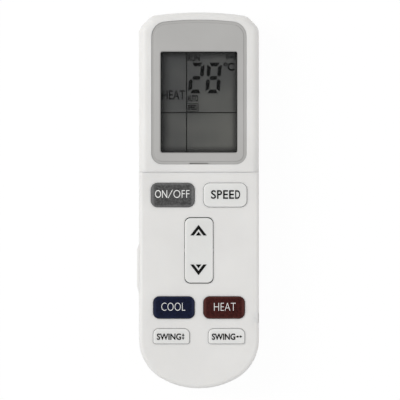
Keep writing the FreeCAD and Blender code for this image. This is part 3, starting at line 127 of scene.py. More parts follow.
class NodeBench:
    """Builds one material's node tree around a Principled shader."""

    MIX_FIRST = 6
    MIX_SECOND = 7
    MIX_RESULT = 2

    def __init__(self, name: str) -> None:
        """Starts an empty material.

        Args:
            name: Name of the material.
        """
        self.material = bpy.data.materials.new(name)
        self.material.use_nodes = True
        self.tree = self.material.node_tree
        self.shader = next(node for node in self.tree.nodes if node.type == "BSDF_PRINCIPLED")
        self.coordinates = self.tree.nodes.new("ShaderNodeTexCoord").outputs["Object"]

    def link(self, source: Socket, target: Socket) -> None:
        """Joins two sockets."""
        self.tree.links.new(source, target)

    def set(self, socket: str, value: object) -> None:
        """Sets a constant on the shader's own socket."""
        self.shader.inputs[socket].default_value = value

    def noise(self, scale: float, detail: float = 2.0, stretch: Triple = (1, 1, 1)) -> Socket:
        """Adds a noise pattern on Object coordinates.

        Args:
            scale: Waves per metre.
            detail: Octaves of finer noise.
            stretch: Scale of the pattern along each axis.

        Returns:
            The noise value, around 0.5.
        """
        mapping = self.tree.nodes.new("ShaderNodeMapping")
        mapping.inputs["Scale"].default_value = stretch
        self.link(self.coordinates, mapping.inputs["Vector"])
        texture = self.tree.nodes.new("ShaderNodeTexNoise")
        texture.inputs["Scale"].default_value = scale
        texture.inputs["Detail"].default_value = detail
        self.link(mapping.outputs["Vector"], texture.inputs["Vector"])
        return texture.outputs["Fac"]

    def ramp(self, source: Socket, stops: list[tuple[float, Colour]]) -> Socket:
        """Colours a value.

        Args:
            source: The value.
            stops: Places and colours along the ramp.

        Returns:
            The colour.
        """
        node = self.tree.nodes.new("ShaderNodeValToRGB")
        elements = node.color_ramp.elements
        while len(elements) < len(stops):
            elements.new(0.5)
        for element, (place, colour) in zip(elements, stops):
            element.position = place
            element.color = (*colour, 1)
        self.link(source, node.inputs["Fac"])
        return node.outputs["Color"]

    def mapped(self, source: Socket, read: Point, result: Point, shape: str = "LINEAR") -> Socket:
        """Maps one range of a value onto another.

        Args:
            source: The value.
            read: The range to read, low and high.
            result: The range that comes out.
            shape: Name of the curve between the two ends.

        Returns:
            The mapped value.
        """
        node = self.tree.nodes.new("ShaderNodeMapRange")
        node.interpolation_type = shape
        for name, limit in zip(("From Min", "From Max", "To Min", "To Max"), (*read, *result)):
            node.inputs[name].default_value = limit
        self.link(source, node.inputs["Value"])
        return node.outputs["Result"]

    def spread(self, pattern: Socket, low: float, high: float) -> Socket:
        """Maps the middle range of a noise pattern onto low to high."""
        return self.mapped(pattern, (NOISE_LOW, NOISE_HIGH), (low, high))

    def between(self, source: Socket, low: float, high: float) -> Socket:
        """Value that climbs smoothly from 0 at low to 1 at high."""
        return self.mapped(source, (low, high), (0, 1), "SMOOTHSTEP")

    def mottled(self, pattern: Socket, colour: Colour, variation: float, sharpness: float = 0.0) -> Socket:
        """Colour that a pattern makes darker and lighter.

        Args:
            pattern: The pattern, around 0.5.
            colour: The middle colour.
            variation: How far it varies, in shares.
            sharpness: How much closer the two ends lie than the noise limits.

        Returns:
            The mottled colour.
        """
        return self.ramp(pattern, [(NOISE_LOW + sharpness, shade(colour, 1 - variation)),
                                   (NOISE_HIGH - sharpness, shade(colour, 1 + variation))])

    def paint(self, colour: Socket) -> None:
        """Gives the shader its colour."""
        self.link(colour, self.shader.inputs["Base Color"])

    def gloss(self, pattern: Socket, low: float, high: float) -> None:
        """Lets a pattern vary the roughness from low to high."""
        self.link(self.spread(pattern, low, high), self.shader.inputs["Roughness"])

    def axis(self, name: str) -> Socket:
        """One Object coordinate, in metres."""
        node = self.tree.nodes.new("ShaderNodeSeparateXYZ")
        self.link(self.coordinates, node.inputs["Vector"])
        return node.outputs[name]

    def math(self, operation: str, first: Socket, second: Socket | float) -> Socket:
        """Combines two values.

        Args:
            operation: Name of the operation.
            first: First value.
            second: Second value, a socket or a number.

        Returns:
            The result.
        """
        node = self.tree.nodes.new("ShaderNodeMath")
        node.operation = operation
        self.link(first, node.inputs[0])
        if isinstance(second, Socket):
            self.link(second, node.inputs[1])
        else:
            node.inputs[1].default_value = second
        return node.outputs["Value"]

    def blend(self, share: Socket, first: Socket, second: Colour) -> Socket:
        """Blends two colours.

        Args:
            share: How much of the second colour.
            first: First colour.
            second: Second colour.

        Returns:
            The blended colour.
        """
        node = self.tree.nodes.new("ShaderNodeMix")
        node.data_type = "RGBA"
        self.link(share, node.inputs["Factor"])
        self.link(first, node.inputs[self.MIX_FIRST])
        node.inputs[self.MIX_SECOND].default_value = (*second, 1)
        return node.outputs[self.MIX_RESULT]

    def framed(self, tone: Socket, edge: Colour, limits: Limits, fades: Fades) -> Socket:
        """Blends a colour towards another along the four sides of a panel.

        Args:
            tone: Colour of the panel.
            edge: Colour at its edges.
            limits: Left, right, lower and upper limit of the panel in metres.
            fades: Reach in metres and strength of the fade at each limit.

        Returns:
            The framed colour.
        """
        axes = (self.axis("X"), self.axis("X"), self.axis("Y"), self.axis("Y"))
        for place, limit, inward, (reach, strength) in zip(axes, limits, (1, -1, 1, -1), fades):
            share = self.between(place, limit + inward * reach, limit)
            tone = self.blend(self.math("MULTIPLY", share, strength), tone, edge)
        return tone

    def bump(self, height: Socket, depth: float) -> None:
        """Roughens the surface.

        Args:
            height: Height pattern, 0 to 1.
            depth: Depth of the pattern in metres.
        """
        node = self.tree.nodes.new("ShaderNodeBump")
        node.inputs["Distance"].default_value = depth
        self.link(height, node.inputs["Height"])
        self.link(node.outputs["Normal"], self.shader.inputs["Normal"])


@dataclass(frozen=True)
class Finish:
    """One material of the remote."""

    name: str

    def dress(self, bench: NodeBench) -> None:
        """Builds the finish on a bench."""
        raise NotImplementedError


@dataclass(frozen=True)
class MouldedPlastic(Finish):
    """Injection-moulded plastic with a spark-eroded grain. Pale plastic lets some light through."""

    colour: Colour
    roughness: float = 0.45
    gloss_spread: float = 0.05
    refraction: float = 1.5
    variation: float = 0.03
    grain_scale: float = 5200
    grain_depth: float = 0.000012
    cloud_scale: float = 45
    depth_of_light: float = 0.0
    light_share: float = 0.6
    light_reach: Triple = (1.0, 0.97, 0.92)

    def dress(self, bench: NodeBench) -> None:
        """Builds soft clouds in the colour, grain in the gloss and the surface."""
        bench.paint(bench.mottled(bench.noise(self.cloud_scale, detail=3), self.colour, self.variation))
        grain = bench.noise(self.grain_scale)
        bench.gloss(grain, self.roughness - self.gloss_spread, self.roughness + self.gloss_spread)
        bench.bump(grain, self.grain_depth)
        bench.set("IOR", self.refraction)
        if self.depth_of_light > 0:
            bench.set("Subsurface Weight", self.light_share)
            bench.set("Subsurface Radius", self.light_reach)
            bench.set("Subsurface Scale", self.depth_of_light)


@dataclass(frozen=True)
class SpeckledKey(Finish):
    """Tinted key plastic, with fine dark speckles under a satin skin, and a rim painted paler as a highlight
    where light catches its rounded edge.
    """

    colour: Colour
    # painted highlight: the paler colour along the key's rounded rim, where light catches it
    rim: Colour
    limits: Limits
    rim_fade: Point
    speckle: float = 0.42
    speckle_scale: float = 1300
    speckle_sharpness: float = 0.02
    speckle_depth: float = 0.00001
    wear_scale: float = 160
    roughness: Point = (0.44, 0.58)
    specular: float = 0.08

    def dress(self, bench: NodeBench) -> None:
        """Builds speckles in the colour, the painted rim highlight, a worn gloss and a fine grain."""
        speckles = bench.noise(self.speckle_scale, detail=4)
        tone = bench.mottled(speckles, self.colour, self.speckle, self.speckle_sharpness)
        bench.paint(bench.framed(tone, self.rim, self.limits, (self.rim_fade,) * 4))
        bench.gloss(bench.noise(self.wear_scale, detail=3), *self.roughness)
        bench.bump(speckles, self.speckle_depth)
        bench.set("Specular IOR Level", self.specular)


@dataclass(frozen=True)
class ClearWindow(Finish):
    """Clear polished display window with faint wipe marks."""

    tint: Colour
    opacity: float = 0.06
    refraction: float = 1.49
    wipe_scale: float = 220
    wipe_stretch: Triple = (1, 0.25, 1)
    variation: float = 0.1
    roughness: Point = (0.03, 0.12)

    def dress(self, bench: NodeBench) -> None:
        """Builds a mostly clear skin, with gloss that wipe marks break up."""
        bench.set("Alpha", self.opacity)
        bench.set("IOR", self.refraction)
        wipes = bench.noise(self.wipe_scale, detail=4, stretch=self.wipe_stretch)
        bench.paint(bench.mottled(wipes, self.tint, self.variation))
        bench.gloss(wipes, *self.roughness)


@dataclass(frozen=True)
class LiquidCrystal(Finish):
    """Liquid-crystal glass, with painted shade that darkens it towards the window's edges, and paler at its
    lower right.

    The fades are those of the painted shade at the left, right, lower and upper side: the reach in metres
    and the strength at the edge. The shares say how much paler the glass is rightward, downward and in the
    corner.
    """

    dark: Colour
    light: Colour
    # painted shade: the colour at the window's edges, where the bezel's walls shade the glass
    edge: Colour
    limits: Limits
    fades: Fades = ((0.005, 0.72), (0.0029, 0.78), (0.0034, 0.85), (0.0038, 0.95))
    shares: Triple = (0.3, 0.25, 0.42)
    fade_start: float = 0.45
    fade_end: float = -0.6
    cloudiness: float = 0.2
    cloud_scale: float = 110
    gloss_scale: float = 300
    roughness: Point = (0.3, 0.42)
    specular: float = 0.1

    def dress(self, bench: NodeBench) -> None:
        """Builds a slanted fade, soft cloudiness and the painted shade along the border."""
        left, right, lower, upper = self.limits
        centre = (lower + upper) / 2
        half = (upper - lower) / 2
        rightward = bench.between(bench.axis("X"), left, right)
        downward = bench.between(bench.axis("Y"), centre + half * self.fade_start,
                                 centre + half * self.fade_end)
        corner = bench.math("MULTIPLY", rightward, downward)
        fade = bench.spread(bench.noise(self.cloud_scale, detail=3), -self.cloudiness, self.cloudiness)
        for value, share in zip((rightward, downward, corner), self.shares):
            fade = bench.math("ADD", bench.math("MULTIPLY", value, share), fade)
        tone = bench.ramp(fade, [(0.0, self.dark), (1.0, self.light)])
        bench.paint(bench.framed(tone, self.edge, self.limits, self.fades))
        bench.gloss(bench.noise(self.gloss_scale), *self.roughness)
        bench.set("Specular IOR Level", self.specular)


@dataclass(frozen=True)
class PrintedInk(Finish):
    """Pad-printed ink, a little uneven."""

    colour: Colour
    roughness: float = 0.5
    gloss_spread: float = 0.08
    unevenness: float = 0.08
    cover_scale: float = 3200
    cover_sharpness: float = 0.05
    specular: float = 0.12

    def dress(self, bench: NodeBench) -> None:
        """Builds uneven cover and a matt skin."""
        cover = bench.noise(self.cover_scale, detail=3)
        bench.paint(bench.mottled(cover, self.colour, self.unevenness, self.cover_sharpness))
        bench.gloss(cover, self.roughness - self.gloss_spread, self.roughness + self.gloss_spread)
        bench.set("Specular IOR Level", self.specular)


@dataclass(frozen=True)
class PlatedMetal(Finish):
    """Plated or drawn metal with streaks along one axis."""

    colour: Colour
    roughness: float = 0.3
    gloss_spread: Point = (0.08, 0.1)
    stretch: Triple = (1, 0.06, 1)
    streak_scale: float = 2600
    streak_shade: float = 0.85
    streak_depth: float = 0.000006

    def dress(self, bench: NodeBench) -> None:
        """Builds streaks in the colour, the gloss and the surface."""
        streaks = bench.noise(self.streak_scale, detail=4, stretch=self.stretch)
        dull = shade(self.colour, self.streak_shade)
        bench.paint(bench.ramp(streaks, [(NOISE_LOW, dull), (NOISE_HIGH, self.colour)]))
        smoother, rougher = self.gloss_spread
        bench.gloss(streaks, self.roughness - smoother, self.roughness + rougher)
        bench.set("Metallic", 1.0)
        bench.bump(streaks, self.streak_depth)


@dataclass(frozen=True)
class CellSleeve(Finish):
    """Printed cell sleeve: steel ends, a dark can and a copper band at the positive end."""

    negative_y: float
    positive_y: float
    can: Colour = srgb(62, 66, 74)
    band: Colour = srgb(176, 112, 62)
    steel: Colour = srgb(196, 194, 188)
    end_length: float = 0.0016
    band_length: float = 0.013
    soft_share: float = 0.004
    scuff_scale: float = 900
    roughness: Point = (0.18, 0.34)
    metallic: float = 0.35

    def dress(self, bench: NodeBench) -> None:
        """Builds bands along the cell, with fine scuffs in the gloss."""
        along = bench.mapped(bench.axis("Y"), (self.negative_y, self.positive_y), (0, 1))
        length = abs(self.positive_y - self.negative_y)
        end = self.end_length / length
        band = self.band_length / length
        soft = self.soft_share
        stops = [(0.0, self.steel), (end, self.steel), (end + soft, self.can), (1 - end - band, self.can),
                 (1 - end - band + soft, self.band), (1 - end, self.band), (1 - end + soft, self.steel)]
        bench.paint(bench.ramp(along, stops))
        bench.gloss(bench.noise(self.scuff_scale, detail=4), *self.roughness)
        bench.set("Metallic", self.metallic)


class Finishes:
    """Every finish by name, made once."""

    def __init__(self) -> None:
        """Makes the materials."""
        left_low, left_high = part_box("cell_left")
        right_low, right_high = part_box("cell_right")
        listed = [
            MouldedPlastic("case_white", srgb(224, 223, 221), depth_of_light=0.0015),
            MouldedPlastic("bezel_grey", srgb(172, 171, 169), roughness=0.4, variation=0.04),
            MouldedPlastic("key_white", srgb(222, 222, 220), roughness=0.36, grain_depth=0.000008,
                           depth_of_light=0.0015),
            MouldedPlastic("holder_white", srgb(214, 213, 206)),
            MouldedPlastic("board_green", srgb(46, 104, 66), roughness=0.3, variation=0.14, cloud_scale=260),
            MouldedPlastic("resin_black", srgb(24, 24, 25), roughness=0.25, variation=0.2),
            MouldedPlastic("capacitor_sleeve", srgb(38, 42, 70), roughness=0.28, variation=0.1),
            MouldedPlastic("lamp_blue", srgb(92, 98, 124), roughness=0.12, variation=0.08),
            MouldedPlastic("infrared_dark", srgb(34, 20, 24), roughness=0.1, variation=0.15,
                           grain_depth=0.000002),
            MouldedPlastic("silicone_grey", srgb(150, 150, 151), roughness=0.7, variation=0.05),
            MouldedPlastic("key_silicone", srgb(196, 197, 198), roughness=0.62, variation=0.04),
            MouldedPlastic("carbon_black", srgb(30, 30, 30), roughness=0.8, variation=0.2),
            # The second colour of each key is a painted highlight along its rounded rim.
            SpeckledKey("key_grey", srgb(75, 75, 75), srgb(150, 150, 150),
                        node_limits("power_key", KEY_FLANGE), rim_fade=(0.0012, 0.32)),
            SpeckledKey("key_blue", srgb(15, 20, 42), srgb(64, 68, 92),
                        node_limits("cool_key", KEY_FLANGE), rim_fade=(0.0009, 0.22)),
            SpeckledKey("key_red", srgb(56, 21, 19), srgb(104, 66, 60),
                        node_limits("heat_key", KEY_FLANGE), rim_fade=(0.001, 0.3)),
            ClearWindow("lens_clear", srgb(40, 42, 42)),
            # The third colour of the liquid crystal is painted shade at the window's edges.
            LiquidCrystal("lcd_grey", srgb(73, 74, 74), srgb(103, 103, 99), srgb(34, 34, 34),
                          node_limits("display_lens", LENS_EDGE)),
            PlatedMetal("reflector_film", srgb(214, 214, 208), roughness=0.4),
            PlatedMetal("can_metal", srgb(206, 206, 208), roughness=0.2),
            PlatedMetal("contact_nickel", srgb(204, 200, 190), roughness=0.32),
            PlatedMetal("screw_steel", srgb(178, 178, 178), roughness=0.36, stretch=(1, 1, 0.1)),
            PlatedMetal(Ink.GOLD, srgb(222, 176, 96), roughness=0.26),
            PrintedInk(Ink.WHITE, srgb(236, 236, 234), unevenness=0.03),
            PrintedInk(Ink.BLACK, srgb(12, 12, 12), specular=0.08),
            PrintedInk(Ink.SEGMENT, srgb(9, 9, 9), roughness=0.6, specular=0.05),
            CellSleeve("cell_sleeve_left", left_low[1], left_high[1]),
            CellSleeve("cell_sleeve_right", right_high[1], right_low[1]),
        ]
        self.materials: dict[str, bpy.types.Material] = {}
        for finish in listed:
            bench = NodeBench(finish.name)
            finish.dress(bench)
            self.materials[finish.name] = bench.material

    def dress_frame(self, frame: dict) -> None:
        """Gives every CAD node its finish.

        Args:
            frame: The loaded frame.
        """
        own = {"cell_left": "cell_sleeve_left", "cell_right": "cell_sleeve_right"}
        for part in frame["record"]["subparts"]:
            node = part["node"]
            name = own.get(node, part["material_slot"])
            mesh = frame["nodes"][node].data
            mesh.materials.clear()
            mesh.materials.append(self.materials[name])
            LOG.info("dressed %s in %s", node, name)


def stand(name: str, data: bpy.types.ID) -> bpy.types.Object:
    """Puts an object with some data into the scene.

    Args:
        name: Name of the object.
        data: Its mesh, curve, lamp or camera.

    Returns:
        The object, at the origin.
    """
    placed = bpy.data.objects.new(name, data)
    bpy.context.scene.collection.objects.link(placed)
    return placed


def baked(holder: bpy.types.Object) -> Mesh:
    """Turns a curve or a modified object into a plain mesh.

    Args:
        holder: The object, which is used up.

    Returns:
        The mesh.
    """
    ready = holder.evaluated_get(bpy.context.evaluated_depsgraph_get())
    mesh = bpy.data.meshes.new_from_object(ready)
    bpy.data.objects.remove(holder)
    return mesh


@dataclass
class Workshop:
    """Makes the thin printed pieces and sets them on their bodies."""

    finishes: Finishes

    LETTER_STEPS = 5
    LETTER_DEPTH = 0.5
    RING_STEPS = 28

    def place(self, mesh: Mesh, body: str, finish: str, slot: str) -> None:
        """Makes a mesh a piece of the object, under the mesh's name.

        Args:
            mesh: The mesh, already in place.
            body: Body it rides on.
            finish: Name of its material.
            slot: A slot of the record; not used.
        """
        mesh.materials.clear()
        mesh.materials.append(self.finishes.materials[finish])
        piece = stand(mesh.name, mesh)
        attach(piece, str(body))
        LOG.info("piece %s on %s, %d faces", piece.name, body, len(mesh.polygons))

    @staticmethod
    def finished(build: bmesh.types.BMesh, name: str) -> Mesh:
        """Turns a built shape into a mesh whose faces point outwards.

        Args:
            build: The shape, which is used up.
            name: Name of the mesh.

        Returns:
            The mesh.
        """
        bmesh.ops.recalc_face_normals(build, faces=build.faces)
        mesh = bpy.data.meshes.new(name)
        build.to_mesh(mesh)
        build.free()
        return mesh

    @staticmethod
    def prisms(name: str, polygons: list[Polygon], bottom: float, top: float) -> Mesh:
        """Makes flat prisms.

        Args:
            name: Name of the mesh.
            polygons: Outlines in millimetres.
            bottom: Lower height in metres.
            top: Upper height in metres.

        Returns:
            The mesh.
        """
        build = bmesh.new()
        for polygon in polygons:
            low = [build.verts.new((x * MM, y * MM, bottom)) for x, y in polygon]
            high = [build.verts.new((x * MM, y * MM, top)) for x, y in polygon]
            build.faces.new(low)
            build.faces.new(high)
            for place in range(len(polygon)):
                after = (place + 1) % len(polygon)
                build.faces.new((low[place], low[after], high[after], high[place]))
        return Workshop.finished(build, name)

    @staticmethod
    def washer(name: str, centre: Point, outer: float, inner: float, bottom: float, top: float) -> Mesh:
        """Makes a flat ring.

        Args:
            name: Name of the mesh.
            centre: Centre in millimetres.
            outer: Outer radius in millimetres.
            inner: Inner radius in millimetres.
            bottom: Lower height in metres.
            top: Upper height in metres.

        Returns:
            The mesh.
        """
        build = bmesh.new()
        loops = []
        for radius, height in ((outer, bottom), (outer, top), (inner, top), (inner, bottom)):
            points = disc(centre, radius, Workshop.RING_STEPS)
            loops.append([build.verts.new((x * MM, y * MM, height)) for x, y in points])
        for place, loop in enumerate(loops):
            following = loops[(place + 1) % len(loops)]
            for step in range(len(loop)):
                after = (step + 1) % len(loop)
                build.faces.new((loop[step], loop[after], following[after], following[step]))
        return Workshop.finished(build, name)

    @staticmethod
    def word(text: str, box: Limits, bottom: float, top: float, weight: float = 0.0) -> Mesh:
        """Makes a word that fills a box.

        Args:
            text: The word.
            box: Left, right, lower and upper limit in millimetres.
            bottom: Lower height in metres.
            top: Upper height in metres.
            weight: How far the strokes are thickened, in shares of the letter size.

        Returns:
            The mesh.
        """
        curve = bpy.data.curves.new(text, "FONT")
        curve.body = text
        curve.offset = weight
        curve.extrude = Workshop.LETTER_DEPTH
        curve.resolution_u = Workshop.LETTER_STEPS
        mesh = baked(stand(text, curve))
        bpy.data.curves.remove(curve)
        left, right, lower, upper = (limit * MM for limit in box)
        for axis, (low, high) in enumerate(((left, right), (lower, upper), (bottom, top))):
            places = [vertex.co[axis] for vertex in mesh.vertices]
            start = min(places)
            span = max(places) - start
            for vertex, place in zip(mesh.vertices, places):
                vertex.co[axis] = low + (place - start) / span * (high - low)
        return Workshop.join(text, [mesh])

    @staticmethod
    def join(name: str, meshes: list[Mesh]) -> Mesh:
        """Joins meshes into one.

        Args:
            name: Name of the joined mesh.
            meshes: The meshes, which are used up.

        Returns:
            The joined mesh.
        """
        build = bmesh.new()
        for mesh in meshes:
            build.from_mesh(mesh)
            bpy.data.meshes.remove(mesh)
        bmesh.ops.remove_doubles(build, verts=build.verts, dist=MERGE_DISTANCE)
        return Workshop.finished(build, name)


def bar(left: float, right: float, lower: float, upper: float) -> Polygon:
    """Rectangle as a polygon, in millimetres."""
    return [(left, lower), (right, lower), (right, upper), (left, upper)]


def middle(node: str) -> Point:
    """Middle of a CAD node across and along the remote, in millimetres."""
    low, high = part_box(node)
    return (low[0] + high[0]) / 2 / MM, (low[1] + high[1]) / 2 / MM


def node_limits(node: str, inset: float) -> Limits:
    """Left, right, lower and upper limit of a CAD node less its hidden edge, in metres."""
    low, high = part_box(node)
    return low[0] + inset, high[0] - inset, low[1] + inset, high[1] - inset


def moved(outline: Polygon, by: Point) -> Polygon:
    """An outline shifted by some millimetres."""
    return [(x + by[0], y + by[1]) for x, y in outline]


def arc(centre: Point, radius: float, start: float, end: float, steps: int) -> Polygon:
    """Points along an arc in millimetres, from one angle in degrees to another, in some chords."""
    turns = [math.radians(start + (end - start) * step / steps) for step in range(steps + 1)]
    return [(centre[0] + radius * math.cos(turn), centre[1] + radius * math.sin(turn)) for turn in turns]


def disc(centre: Point, radius: float, steps: int) -> Polygon:
    """Points round a whole circle, in millimetres."""
    return arc(centre, radius, 0, 360 - 360 / steps, steps - 1)


def stroke(centre: Point, radius: float, width: float, start: float, end: float, steps: int) -> Polygon:
    """Outline of an arc that is drawn with a pen of some width, in millimetres and degrees."""
    outer = arc(centre, radius + width / 2, start, end, steps)
    return outer + arc(centre, radius - width / 2, end, start, steps)


def double_arrow(half: float, length: float, head: float, stem: float) -> Polygon:
    """Outline of a level arrow: half its length, a head's length, and half a head's and the stem's width."""
    right = moved([(0, -stem), (0, -head), (length, 0), (0, head), (0, stem)], (half - length, 0))
    return right + [(-x, -y) for x, y in right]


@dataclass
class Display:
    """Segments, words and rules on the liquid crystal. Millimetres from the middle of the window."""

    workshop: Workshop
    digit_height: float = 12.2
    digit_width: float = 5.8
    thickness: float = 1.5
    slant: float = 0.072
    segment_gap: float = 0.42
    corner_cut: float = 0.85
    digit_y: float = 9.65
    digit_places: dict[float, str] = field(default_factory=lambda: {-1.03: "2", 5.8: "8"})
    rule_cross: Point = (-4.92, -4.15)
    rule_width: float = 0.4
    middle_reach: float = 1.6
    middle_cut: float = 0.4
    hidden_edge: float = 1.0
    sending_place: Point = (12.75, 18.0)
    sending_dot: float = 0.55
    wave_radii: Point = (1.05, 1.75)
    wave_width: float = 0.42
    wave_spread: float = 38
    celsius_place: Point = (12.95, 14.1)
    celsius_radius: float = 1.3
    celsius_width: float = 0.66
    celsius_opening: float = 42
    degree_place: Point = (10.55, 15.05)
    degree_radii: Point = (0.82, 0.34)
    speed_frame: Limits = (-4.6, -0.2, -3.75, -0.5)
    frame_line: float = 0.26
    dot_steps: int = 24
    wave_steps: int = 10
    lift: float = 0.01
    film: float = 0.03

    WORDS = {
        "RUN": ((-4.5, 0.4, 16.25, 18.85), 0.03),
        "HEAT": ((-14.7, -5.5, 1.05, 4.75), 0.008),
        "AUTO": ((-4.6, -0.3, 0.25, 2.85), 0.035),
        "SPEED": ((-4.5, -0.7, -3.15, -1.05), 0.045),
    }
    LIT = {
        "2": (Segment.TOP, Segment.UPPER_RIGHT, Segment.MIDDLE, Segment.LOWER_LEFT, Segment.BOTTOM),
        "8": tuple(Segment),
    }

    def segment(self, which: Segment) -> Polygon:
        """Outline of one bar of a digit, about the digit's middle.

        Args:
            which: The bar.

        Returns:
            Its outline, before the slant.
        """
        outer = self.digit_width / 2
        end = self.digit_height / 2
        inner = outer - self.thickness
        half = self.thickness / 2
        gap = self.segment_gap
        cut = self.corner_cut
        if which is Segment.MIDDLE:
            tip = self.middle_reach
            flat = tip - self.middle_cut
            return [(-tip, 0), (-flat, -half), (flat, -half), (tip, 0), (flat, half), (-flat, half)]
        rise = 1 if which in (Segment.TOP, Segment.UPPER_LEFT, Segment.UPPER_RIGHT) else -1
        if which in (Segment.TOP, Segment.BOTTOM):
            return [(cut - outer, rise * end), (outer - cut, rise * end),
                    (inner - gap / 2, rise * (end - self.thickness)),
                    (gap / 2 - inner, rise * (end - self.thickness))]
        side = 1 if which in (Segment.UPPER_RIGHT, Segment.LOWER_RIGHT) else -1
        return [(side * outer, rise * (end - cut)), (side * outer, rise * (gap + half)),
                (side * (outer - half), rise * gap), (side * inner, rise * (gap + half)),
                (side * inner, rise * (end - self.thickness - gap / 2))]

    def digits(self) -> list[Polygon]:
        """Every lit bar of both digits, slanted and in place."""
        lit = []
        for place, digit in self.digit_places.items():
            for which in self.LIT[digit]:
                lit.append([(place + x + self.slant * y, self.digit_y + y) for x, y in self.segment(which)])
        return lit

    def rules(self) -> list[Polygon]:
        """The cross of two thin lines that parts the display's fields."""
        low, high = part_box("display_lens")
        right = (high[0] - low[0]) / 2 / MM - self.hidden_edge
        upper = (high[1] - low[1]) / 2 / MM - self.hidden_edge
        left, lower = -right, -upper
        half = self.rule_width / 2
        x, y = self.rule_cross
        return [[(x - half, lower), (x + half, lower), (x + half, y - half), (right, y - half),
                 (right, y + half), (x + half, y + half), (x + half, upper), (x - half, upper),
                 (x - half, y + half), (left, y + half), (left, y - half), (x - half, y - half)]]

    def sending_mark(self) -> list[Polygon]:
        """Small lamp with waves to both sides, which shows while the remote sends."""
        marks = [disc(self.sending_place, self.sending_dot, self.dot_steps)]
        for radius in self.wave_radii:
            for facing in (0, 180):
                marks.append(stroke(self.sending_place, radius, self.wave_width, facing - self.wave_spread,
                                    facing + self.wave_spread, self.wave_steps))
        return marks

    def signs(self) -> list[Polygon]:
        """The C of the degree sign and the frame round the fan-speed word."""
        left, right, lower, upper = self.speed_frame
        line = self.frame_line
        frame = [(left, upper), (left, upper - line), (right - line, upper - line),
                 (right - line, lower + line), (left, lower + line), (left, lower),
                 (right, lower), (right, upper)]
        celsius = stroke(self.celsius_place, self.celsius_radius, self.celsius_width, self.celsius_opening,
                         360 - self.celsius_opening, Workshop.RING_STEPS)
        return [celsius, frame]

    @staticmethod
    def placed(outlines: list[Polygon]) -> list[Polygon]:
        """Outlines moved from the window's middle to its place on the remote."""
        return [moved(outline, middle("display_lens")) for outline in outlines]

    def build(self) -> None:
        """Makes the display's pieces."""
        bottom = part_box("lcd_panel")[1][2] + self.lift * MM
        top = bottom + self.film * MM
        make = self.workshop
        x, y = middle("display_lens")
        degree = moved([self.degree_place], (x, y))[0]
        marks = [make.prisms("signs", self.placed(self.signs() + self.sending_mark()), bottom, top),
                 make.washer("degree", degree, *self.degree_radii, bottom, top)]
        letters = []
        for word, ((left, right, lower, upper), weight) in self.WORDS.items():
            box = (x + left, x + right, y + lower, y + upper)
            letters.append(make.word(word, box, bottom, top, weight))
        for mesh in (make.prisms("display_digits", self.placed(self.digits()), bottom, top),
                     make.prisms("display_rules", self.placed(self.rules()), bottom, top),
                     make.join("display_marks", marks),
                     make.join("display_words", letters)):
            make.place(mesh, CadBody.CASE, Ink.SEGMENT, "lcd_grey")


@dataclass(frozen=True)
class Legend:
    """One printed word on a key.

    The box is left, right, lower and upper limit in millimetres from the middle of the key. With a letter
    gap, every letter is as wide as the others.
    """

    text: str
    box: Limits
    ink: Ink
    body: CadBody
    slot: str
    weight: float = 0.0
    letter_gap: float = 0.0

    def parts(self) -> list[tuple[str, Limits]]:
        """The word with its box, or its letters with theirs.

        Returns:
            Texts and boxes.
        """
        left, right, lower, upper = self.box
        if self.letter_gap == 0:
            return [(self.text, self.box)]
        pitch = (right - left + self.letter_gap) / len(self.text)
        starts = [left + pitch * place for place in range(len(self.text))]
        return [(letter, (start, start + pitch - self.letter_gap, lower, upper))
                for letter, start in zip(self.text, starts)]


